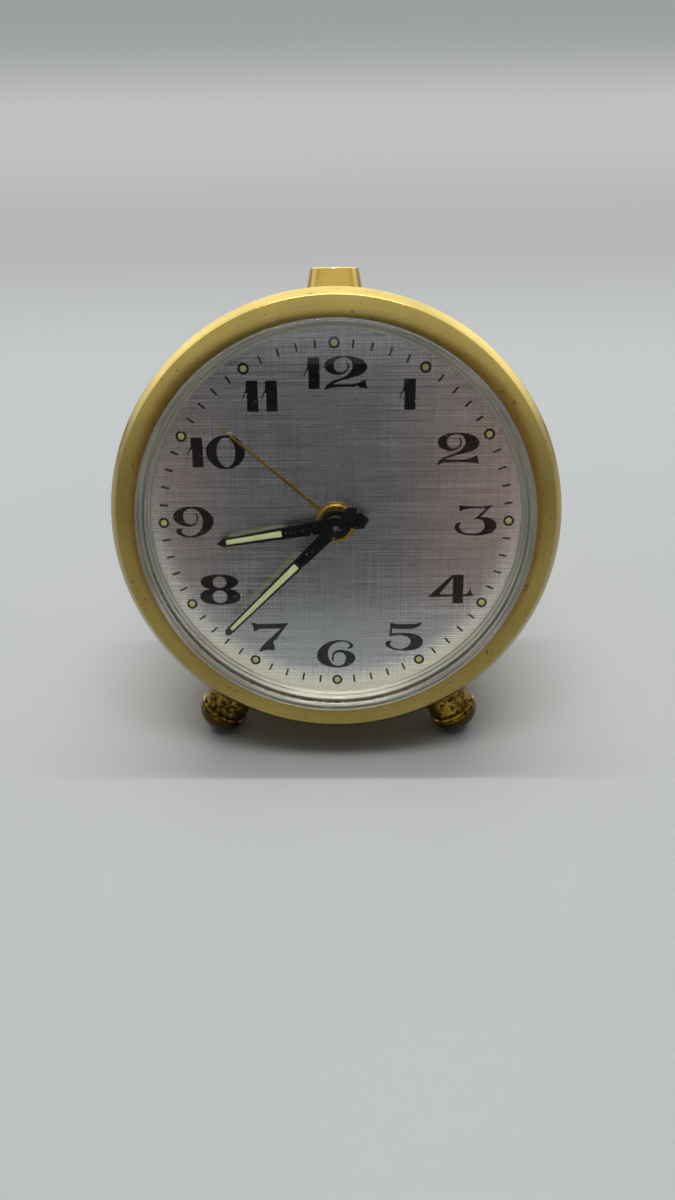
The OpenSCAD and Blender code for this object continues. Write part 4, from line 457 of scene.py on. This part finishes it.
def round_dial(piece, angles):
    """Repeats a piece about the dial's axis, each copy with its own mesh, and joins them."""
    group = [piece]
    for angle in angles[1:]:
        copy = piece.copy()
        copy.data = piece.data.copy()
        bpy.context.collection.objects.link(copy)
        copy.matrix_world = Matrix.Rotation(math.radians(angle), 4, "Z") @ piece.matrix_world
        group.append(copy)
    piece.matrix_world = Matrix.Rotation(math.radians(angles[0]), 4, "Z") @ piece.matrix_world
    return join(*group)


TICK_R, TICK_W, TICK_LEN = 26.95, 0.3, 1.25
bpy.ops.mesh.primitive_cube_add(size=1, location=(0, TICK_R * MM, INK / 2 * MM),
                                scale=(TICK_W * MM, TICK_LEN * MM, INK * MM))
tick = join(bpy.context.object)
tick.name = "minute_marks"
soften(tick, 0.006, angle=60, steps=1)
ticks = round_dial(tick, [6 * i for i in range(60) if i % 5])
dress(ink, "minute_marks")
seat(ticks, "case")

# Dot rims
# A thin printed ring round each hour dot.
DOT_RING = 27
rim = turned("dot_rims", [(0.48, 0.0), (0.84, 0.0), (0.84, INK), (0.48, INK)], steps=32, ends="ring")
rim.matrix_world = Matrix.Translation((0, DOT_RING * MM, 0))
rims = round_dial(rim, range(0, 360, 30))
dress(ink, "dot_rims")
seat(rims, "case")

# Hour dots
# Twelve drops of luminous paint, each set by hand inside its printed rim: domed and matt.
dot = turned("luminous_dots", [(0.5, 0.0), (0.49, 0.05), (0.4, 0.09), (0.24, 0.115), (0, 0.12)], steps=24)
dot.matrix_world = Matrix.Translation((0, DOT_RING * MM, 0))
dots = round_dial(dot, range(0, 360, 30))


def chalk(material, dark, light):
    """Matt paint with fine grains in two tones."""
    grains = add(material, "TexNoise", {"Vector": on_dial(material), "Scale": 9.0, "Detail": 3.0})
    tone = add(material, "MixRGB", {"Fac": grains.outputs[0], 1: linear(dark), 2: linear(light)})
    bump = add(material, "Bump", {"Height": grains.outputs[0], "Distance": 0.02 * MM})
    shader = add(material, "BsdfPrincipled", {
        "Base Color": tone.outputs[0], "Roughness": 0.75, "Normal": bump.outputs[0]})
    add(material, "OutputMaterial", {0: shader.outputs[0]})


# Aged luminous paint: olive yellow, chalky, with fine grains.
dot_lume = blank("aged_luminous_paint")
chalk(dot_lume, "#A5A15E", "#CBC988")
dress(dot_lume, "luminous_dots")
seat(dots, "case", "hour_dots")

# Reflector ring
# A pressed ring between dial and crystal, nickel plated, with four concentric steps that
# catch the light. It presses the dial's edge against the flange.
SIGHT_R = 28.9
STEP_W = 0.425
STEP_H = 0.5875
ring_shape = [(31.85, 0.0), (31.85, 2.35), (30.6, 2.35)]
for i in (3, 2, 1, 0):
    ring_shape += [(SIGHT_R + STEP_W * i + 0.15, STEP_H * (i + 1) - 0.12),
                   (SIGHT_R + STEP_W * i, STEP_H * i + 0.05)]
reflector = turned("stepped_reflector", ring_shape + [(SIGHT_R, 0.0)], steps=256, ends="ring")
soften(reflector, 0.05, steps=2)
# Satin nickel plate: a warm silver that spreads the light, so its steps look soft.
ring_nickel = blank("satin_nickel_plate")
metal(ring_nickel, around(ring_nickel, 3.0, 10.0), ("#C2BEB0", "#A29D8E"), (0.25, 0.4), 0.004)
dress(ring_nickel, "stepped_reflector")
seat(reflector, "case", "reflector_ring")

# Hour and minute hands
# Stamped from thin steel and blackened, each with a spade tail, a riveted boss and a slot
# filled with luminous paint. The alarm's and the motion work's pipes carry them.
HAND_T = 0.25


def pointer(name, direction, level, length, point, root_w, tip_w, tail, tail_w, hub_r, bore, slot):
    """Hand with its slot, as (start, end, width, end width), and the paint that fills it."""
    half = [(-tail, 0), (-tail * 0.78, tail_w / 2), (-tail * 0.55, tail_w * 0.45), (-hub_r * 0.8, 0.5),
            (0, root_w / 2), (length - point, tip_w / 2), (length, 0.12)]
    outline = [(x, y, "c") for x, y in half] + [(x, -y, "c") for x, y in half[:0:-1]]
    start, end, width, end_w = slot
    window = [(start, width / 2, "c"), (start, -width / 2, "c"), (end, -end_w / 2, "c"), (end, end_w / 2, "c")]
    blade = cut_out(name, [outline, window], HAND_T, level, edge=0.04)
    boss = turned(name + "_boss", [(bore, level), (hub_r, level), (hub_r, level + HAND_T + 0.02),
                                   (bore, level + HAND_T + 0.02)], steps=64, ends="ring")
    soften(boss, 0.04)
    bpy.ops.mesh.primitive_cube_add(size=1, location=((start + end) / 2 * MM, 0, (level + 0.1) * MM),
                                    scale=((end - start) * MM, width * MM, 0.2 * MM))
    paint = join(bpy.context.object)
    paint.name = name + "_paint"
    bpy.ops.object.mode_set(mode="EDIT")
    bpy.ops.mesh.select_all(action="DESELECT")
    bpy.ops.object.mode_set(mode="OBJECT")
    for corner in paint.data.vertices:
        corner.select = corner.co.x > (start + end) / 2 * MM
    bpy.ops.object.mode_set(mode="EDIT")
    bpy.ops.transform.resize(value=(1, end_w / width, 1), center_override=(end * MM, 0, 0))
    bpy.ops.object.mode_set(mode="OBJECT")
    soften(paint, 0.07, angle=60)
    turn = Matrix.Rotation(math.radians(90 - direction), 4, "Z")
    for one in (blade, boss, paint):
        one.matrix_world = turn @ one.matrix_world
    return join(blade, boss), join(paint)


minute_hand, minute_paint = pointer(
    "minute_pointer", direction=225.5, level=3.9, length=24.6, point=0.5, root_w=2.0, tip_w=1.15, tail=4.5,
    tail_w=2.1, hub_r=1.74, bore=0.38, slot=(8.5, 23.4, 1.05, 0.61))
hour_hand, hour_paint = pointer(
    "hour_pointer", direction=261, level=1.9, length=18.7, point=0.9, root_w=2.3, tip_w=1.35, tail=5.3,
    tail_w=2.6, hub_r=2.33, bore=1.5, slot=(8.5, 17.3, 1.0, 0.79))
# Blackened steel: deep satin black, with a soft gloss along its edges.
hand_black = blank("blackened_steel")
wear = add(hand_black, "TexNoise", {"Vector": on_dial(hand_black), "Scale": 2.0, "Detail": 5.0})
hand_tone = add(hand_black, "MixRGB", {"Fac": wear.outputs[0], 1: linear("#020202"), 2: linear("#08080A")})
hand_rough = add(hand_black, "MapRange", {"Value": wear.outputs[0], 3: 0.12, 4: 0.25})
hand_shader = add(hand_black, "BsdfPrincipled", {
    "Base Color": hand_tone.outputs[0], "Roughness": hand_rough.outputs[0], "Specular IOR Level": 0.35})
add(hand_black, "OutputMaterial", {0: hand_shader.outputs[0]})
# Fresh luminous paint: the hands' filling kept a pale yellow-green.
hand_lume = blank("luminous_paint")
chalk(hand_lume, "#C3CB86", "#E4EDB6")
for hand, paint, body, node in ((minute_hand, minute_paint, "minute_set", "minute_hand"),
                                (hour_hand, hour_paint, "hour_set", "hour_hand")):
    dress(hand_black, hand.name)
    dress(hand_lume, paint.name)
    seat(hand, body, node)
    seat(paint, body, node + "_lume")

# Alarm hand
# A thin brass pointer on a wide brass hub, with a raised collet that grips the alarm pipe.
ALARM_Z = 0.3
ALARM_TIME = 310.5
pin = cut_out("alarm_pointer", [[(0, 0.32, "c"), (22.9, 0.16, "c"), (22.9, -0.16, "c"), (0, -0.32, "c")]],
              0.22, ALARM_Z, edge=0.08)
collet = turned("alarm_collet", [(2.26, ALARM_Z), (3.22, ALARM_Z), (3.22, 0.52), (2.95, 0.53), (2.78, 0.8),
                                 (2.26, 0.84)], steps=96, ends="ring")
soften(collet, 0.05)
pin.matrix_world = Matrix.Rotation(math.radians(90 - ALARM_TIME), 4, "Z")
alarm_hand = join(collet, pin)
alarm_hand.name = "alarm_pointer_hand"
# Satin brass: a dull gold, fine marks all ways.
hand_brass = blank("satin_brass")
metal(hand_brass, stretched(hand_brass, (3, 3, 3)), ("#BE9C49", "#9C7C35"), (0.22, 0.36), 0.004)
dress(hand_brass, "alarm_pointer_hand", "alarm_wheel")
seat(alarm_hand, "alarm_hand_set", "alarm_hand")

# Crystal
# The glass is moulded clear acrylic: a flange held by the bezel, an upright rounded edge
# and a shallow dome. Years of handling left hairline scratches on it.
DOME_R, DOME_Z, DOME_RISE = 29.7, 5.285, 1.2
EDGE_R = 0.9
HOLLOW_R, HOLLOW_TOP, HOLLOW_RISE = 29.4, 5.3, 1.6
GLASS_BASE = 2.35
DOME_LOOPS = 12
outside = [(HOLLOW_R, GLASS_BASE), (31.85, GLASS_BASE), (31.85, 3.25), (30.6, 3.25), (30.6, DOME_Z - EDGE_R)]
outside += [(DOME_R + EDGE_R * math.cos(math.radians(a)), DOME_Z - EDGE_R + EDGE_R * math.sin(math.radians(a)))
            for a in range(15, 91, 15)]
outside += [(DOME_R * i / DOME_LOOPS, DOME_Z + DOME_RISE * (1 - (i / DOME_LOOPS) ** 2))
            for i in range(DOME_LOOPS - 1, -1, -1)]
inside = [(HOLLOW_R, GLASS_BASE)]
inside += [(HOLLOW_R * i / DOME_LOOPS, HOLLOW_TOP - HOLLOW_RISE * (i / DOME_LOOPS) ** 2)
           for i in range(DOME_LOOPS, -1, -1)]
crystal = join(turned("crystal_glass", outside, steps=256, ends="open"),
               turned("crystal_inside", inside, steps=256, ends="open"))
bpy.ops.object.mode_set(mode="EDIT")
bpy.ops.mesh.select_all(action="SELECT")
bpy.ops.mesh.remove_doubles(threshold=0.002 * MM)
bpy.ops.mesh.normals_make_consistent(inside=False)
bpy.ops.object.mode_set(mode="OBJECT")
# Clear acrylic: colourless, with white dust and short white scratches where it was rubbed. Its
# index is a little low, so that its reflections stay as faint as they look through the dust.
acrylic = blank("clear_moulded_acrylic")
dust = add(acrylic, "TexNoise", {"Vector": on_dial(acrylic), "Scale": 2.4, "Detail": 2.0})
specks = add(acrylic, "MapRange", {"Value": dust.outputs[0], 1: 0.72, 2: 0.76})
slant = add(acrylic, "Mapping", {"Vector": on_dial(acrylic), "Rotation": (0, 0, 0.6), "Scale": (0.25, 5, 0)})
lines = add(acrylic, "TexNoise", {"Vector": slant.outputs[0], "Scale": 1.0, "Detail": 2.0})
scuffs = add(acrylic, "MapRange", {"Value": lines.outputs[0], 1: 0.74, 2: 0.8})
marks = add(acrylic, "Math", {0: specks.outputs[0], 1: scuffs.outputs[0]}, operation="MAXIMUM")
clean = add(acrylic, "MapRange", {"Value": marks.outputs[0], 3: 1.0, 4: 0.55})
haze = add(acrylic, "MapRange", {"Value": marks.outputs[0], 3: 0.0, 4: 0.3})
glass = add(acrylic, "BsdfPrincipled", {
    "Base Color": linear("#FBFDFC"), "Transmission Weight": clean.outputs[0], "IOR": 1.36,
    "Roughness": haze.outputs[0]})
clear = add(acrylic, "BsdfTransparent", {})
path = add(acrylic, "LightPath", {})
pane = add(acrylic, "MixShader", {0: path.outputs["Is Shadow Ray"], 1: glass.outputs[0], 2: clear.outputs[0]})
add(acrylic, "OutputMaterial", {0: pane.outputs[0]})
dress(acrylic, "crystal_glass")
seat(crystal, "case", "crystal")

# Bezel
# A ring turned from brass tube: a steep bevel outside and a nearly flat face that runs in
# to the crystal. It was gilt and lacquered, and slips over the drum's front edge.
BEZEL_R = 34.785
BEVEL_R = 33.7
bezel = turned("bezel_ring", [
    (33.55, -2.2), (BEZEL_R, -2.2), (BEZEL_R, 2.0), (BEVEL_R, 3.4), (30.7, 4.0), (30.7, 3.3), (31.95, 3.3),
    (31.95, 0.85), (33.55, 0.85)], steps=256, ends="ring")
soften(bezel, 0.05, steps=2)
# Turned gilt brass: a satin face with streaks round it, small dark pits and bright flecks, and
# a polished bevel outside it.
bezel_brass = blank("turned_gilt_brass")
bezel_shader = metal(bezel_brass, around(bezel_brass, 2.0, 14.0), ("#B09A51", "#97823F"), (0.2, 0.32), 0.002,
                     lacquer=0.4)
spots(bezel_brass, bezel_shader, "#5E4A1E", 0.7, 0.68)
spots(bezel_brass, bezel_shader, "#EAD78C", 0.3, 0.74)
arm = add(bezel_brass, "VectorMath", {0: on_dial(bezel_brass), 1: (1, 1, 0)}, operation="MULTIPLY")
reach = add(bezel_brass, "VectorMath", {0: arm.outputs[0]}, operation="LENGTH")
polish = add(bezel_brass, "MapRange", {
    "Value": reach.outputs["Value"], 1: BEVEL_R - 0.02, 2: BEVEL_R + 0.04, 3: 1.0, 4: 0.45})
satin = bezel_shader.inputs["Roughness"].links[0].from_socket
buffed = add(bezel_brass, "Math", {0: satin, 1: polish.outputs[0]}, operation="MULTIPLY")
bezel_brass.node_tree.links.new(buffed.outputs[0], bezel_shader.inputs["Roughness"])
dress(bezel_brass, "bezel_ring")
seat(bezel, "case", "bezel")

# Table
# A pale grey sheet that runs back a metre behind the clock and sweeps up without a crease.
bpy.ops.mesh.primitive_plane_add(size=1, location=(0, 0, 0))
table = bpy.context.object
table.name = "table_sweep"
TABLE_W, TABLE_DEPTH = 6, 2.8
table.scale = (TABLE_W, TABLE_DEPTH, 1)
bpy.ops.object.transform_apply(scale=True)
bpy.ops.object.mode_set(mode="EDIT")
bpy.ops.mesh.select_mode(type="EDGE")
bpy.ops.mesh.select_all(action="DESELECT")
bpy.ops.object.mode_set(mode="OBJECT")
for edge in table.data.edges:
    edge.select = all(table.data.vertices[v].co.y > 1 for v in edge.vertices)
bpy.ops.object.mode_set(mode="EDIT")
BEND = 0.2
for i in range(24):
    a, b = math.radians(90 * i / 24), math.radians(90 * (i + 1) / 24)
    bpy.ops.mesh.extrude_region_move(TRANSFORM_OT_translate={
        "value": (0, BEND * (math.sin(b) - math.sin(a)), BEND * (math.cos(a) - math.cos(b)))})
bpy.ops.mesh.extrude_region_move(TRANSFORM_OT_translate={"value": (0, 0, 0.05)})
bpy.ops.object.mode_set(mode="OBJECT")
bpy.ops.object.shade_smooth()
# Matt grey card: even and pale. Far behind, where the picture is out of focus, camera and mirror rays
# see its tones glow as written instead of lit: painted light, a pale band with painted dusk shade above it.
sheet = blank("pale_grey_card")
spot = add(sheet, "TexCoord", {}).outputs["Object"]
sheet_noise = add(sheet, "TexNoise", {"Vector": spot, "Scale": 6.0})
sheet_tone = add(sheet, "MixRGB", {"Fac": sheet_noise.outputs[0], 1: linear("#C6C9C9"), 2: linear("#CDD0CF")})
sheet_shader = add(sheet, "BsdfPrincipled", {"Base Color": sheet_tone.outputs[0], "Roughness": 0.5})
back = add(sheet, "SeparateXYZ", {0: spot})
# Painted light and shade on the far backdrop: a pale band, and darker dusk towards its top.
pale = add(sheet, "MapRange", {"Value": back.outputs[1], 1: 0.4, 2: 0.85}, interpolation_type="SMOOTHSTEP")
painted_dusk = add(sheet, "MapRange", {"Value": back.outputs[2], 1: -0.06, 2: 0.11}, interpolation_type="SMOOTHSTEP")
band = add(sheet, "MixRGB", {"Fac": pale.outputs[0], 1: linear("#BEC0BF"), 2: linear("#CBCCCC")})
band = add(sheet, "MixRGB", {"Fac": painted_dusk.outputs[0], 1: band.outputs[0], 2: linear("#9DA0A0")})
far = add(sheet, "MapRange", {"Value": back.outputs[1], 1: 0.12, 2: 0.4}, interpolation_type="SMOOTHSTEP")
sheet_path = add(sheet, "LightPath", {})
seen = add(sheet, "Math", {0: sheet_path.outputs["Is Camera Ray"], 1: sheet_path.outputs["Is Glossy Ray"]},
           operation="ADD")
seen = add(sheet, "Math", {0: seen.outputs[0], 1: sheet_path.outputs["Is Transmission Ray"]},
           operation="ADD", use_clamp=True)
share = add(sheet, "Math", {0: seen.outputs[0], 1: far.outputs[0]}, operation="MULTIPLY")
far_painted_glow = add(sheet, "Emission", {"Color": band.outputs[0]})
sheet_mix = add(sheet, "MixShader", {0: share.outputs[0], 1: sheet_shader.outputs[0], 2: far_painted_glow.outputs[0]})
add(sheet, "OutputMaterial", {0: sheet_mix.outputs[0]})
dress(sheet, "table_sweep")
table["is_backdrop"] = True

# Light
# A ceiling that is bright overhead and dim near the horizon, a soft box over the front of the
# clock and a thin strip lamp a little behind it. Brass and glass also mirror a bright window
# wall behind the clock and a card where the camera stands, which light nothing else.
world = bpy.data.worlds.new("studio")
bpy.context.scene.world = world
world.use_nodes = True
world.node_tree.nodes.clear()
sky = add(world, "SeparateXYZ", {0: add(world, "TexCoord", {}).outputs["Generated"]})
sky_path = add(world, "LightPath", {})
shaded = sky_path.outputs["Is Diffuse Ray"]
start = add(world, "Math", {0: shaded, 1: 0.79}, operation="MULTIPLY")
end = add(world, "Math", {0: shaded, 1: 0.45, 2: 0.5}, operation="MULTIPLY_ADD")
height = add(world, "MapRange", {"Value": sky.outputs[2], 1: start.outputs[0], 2: end.outputs[0]},
             interpolation_type="SMOOTHSTEP")
low_glow = add(world, "MixRGB", {"Fac": shaded, 1: linear("#8C8E90"), 2: linear("#0B0C0C")})
glow = add(world, "MixRGB", {"Fac": height.outputs[0], 1: low_glow.outputs[0], 2: linear("#F0F3F4")})
window = add(world, "Math", {0: sky_path.outputs["Is Glossy Ray"], 1: 1.7, 2: 1.0}, operation="MULTIPLY_ADD")
behind = add(world, "MapRange", {"Value": sky.outputs[1], 1: 0.0, 2: 0.4, 3: 1.0, 4: window.outputs[0]})
room = add(world, "Background", {"Color": glow.outputs[0], "Strength": behind.outputs[0]})
add(world, "OutputWorld", {0: room.outputs[0]})

for name, size, place, tilt, power in (("soft_box", (0.7, 0.24), (0, -0.235, 1.07), 12.4, 3.15),
                                       ("strip_lamp", (0.9, 0.009), (0, 0.264, 1.08), -15, 3.35)):
    bpy.ops.object.light_add(type="AREA", location=place, rotation=(math.radians(tilt), 0, 0))
    lamp = bpy.context.object
    lamp.name = name
    lamp.data.shape = "RECTANGLE"
    lamp.data.size, lamp.data.size_y = size
    lamp.data.energy = power

# Camera card: a dark middle like the camera's back, and warm tan at both sides, like the hands
# that held it. Only mirror rays see it.
bpy.ops.mesh.primitive_plane_add(size=1, location=(0, -0.156, 0.055), rotation=(math.radians(62), 0, 0))
card = bpy.context.object
card.name = "camera_card"
card.scale = (0.165, 0.122, 1)
bpy.ops.object.transform_apply(location=True, rotation=True, scale=True)
card.visible_camera = card.visible_diffuse = card.visible_shadow = False
card_grey = blank("dark_and_tan_card")
place = add(card_grey, "SeparateXYZ", {0: add(card_grey, "TexCoord", {}).outputs["Object"]})
shift = add(card_grey, "Math", {0: place.outputs[0], 1: 0.01}, operation="ADD")
sideways = add(card_grey, "Math", {0: shift.outputs[0]}, operation="ABSOLUTE")
warmth = add(card_grey, "MapRange", {"Value": sideways.outputs[0], 1: 0.03, 2: 0.06})
card_tone = add(card_grey, "MixRGB", {"Fac": warmth.outputs[0], 1: linear("#5C5C63"), 2: linear("#DCAE9C")})
card_shader = add(card_grey, "BsdfPrincipled", {"Base Color": card_tone.outputs[0], "Roughness": 0.9})
add(card_grey, "OutputMaterial", {0: card_shader.outputs[0]})
dress(card_grey, "camera_card")
card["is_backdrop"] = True

# Camera
# It stands where the photograph was taken from, two clock widths away and looking down.
bpy.ops.object.camera_add(location=(0.00204, -0.13648, 0.10579),
                          rotation=[math.radians(a) for a in (56.736, 0.659, 0.480)])
camera = bpy.context.object
camera.data.sensor_width = 36
camera.data.lens = 26.44
camera.data.clip_start = 0.005
bpy.context.scene.camera = camera
bpy.context.scene.view_settings.view_transform = "Standard"

low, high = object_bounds()
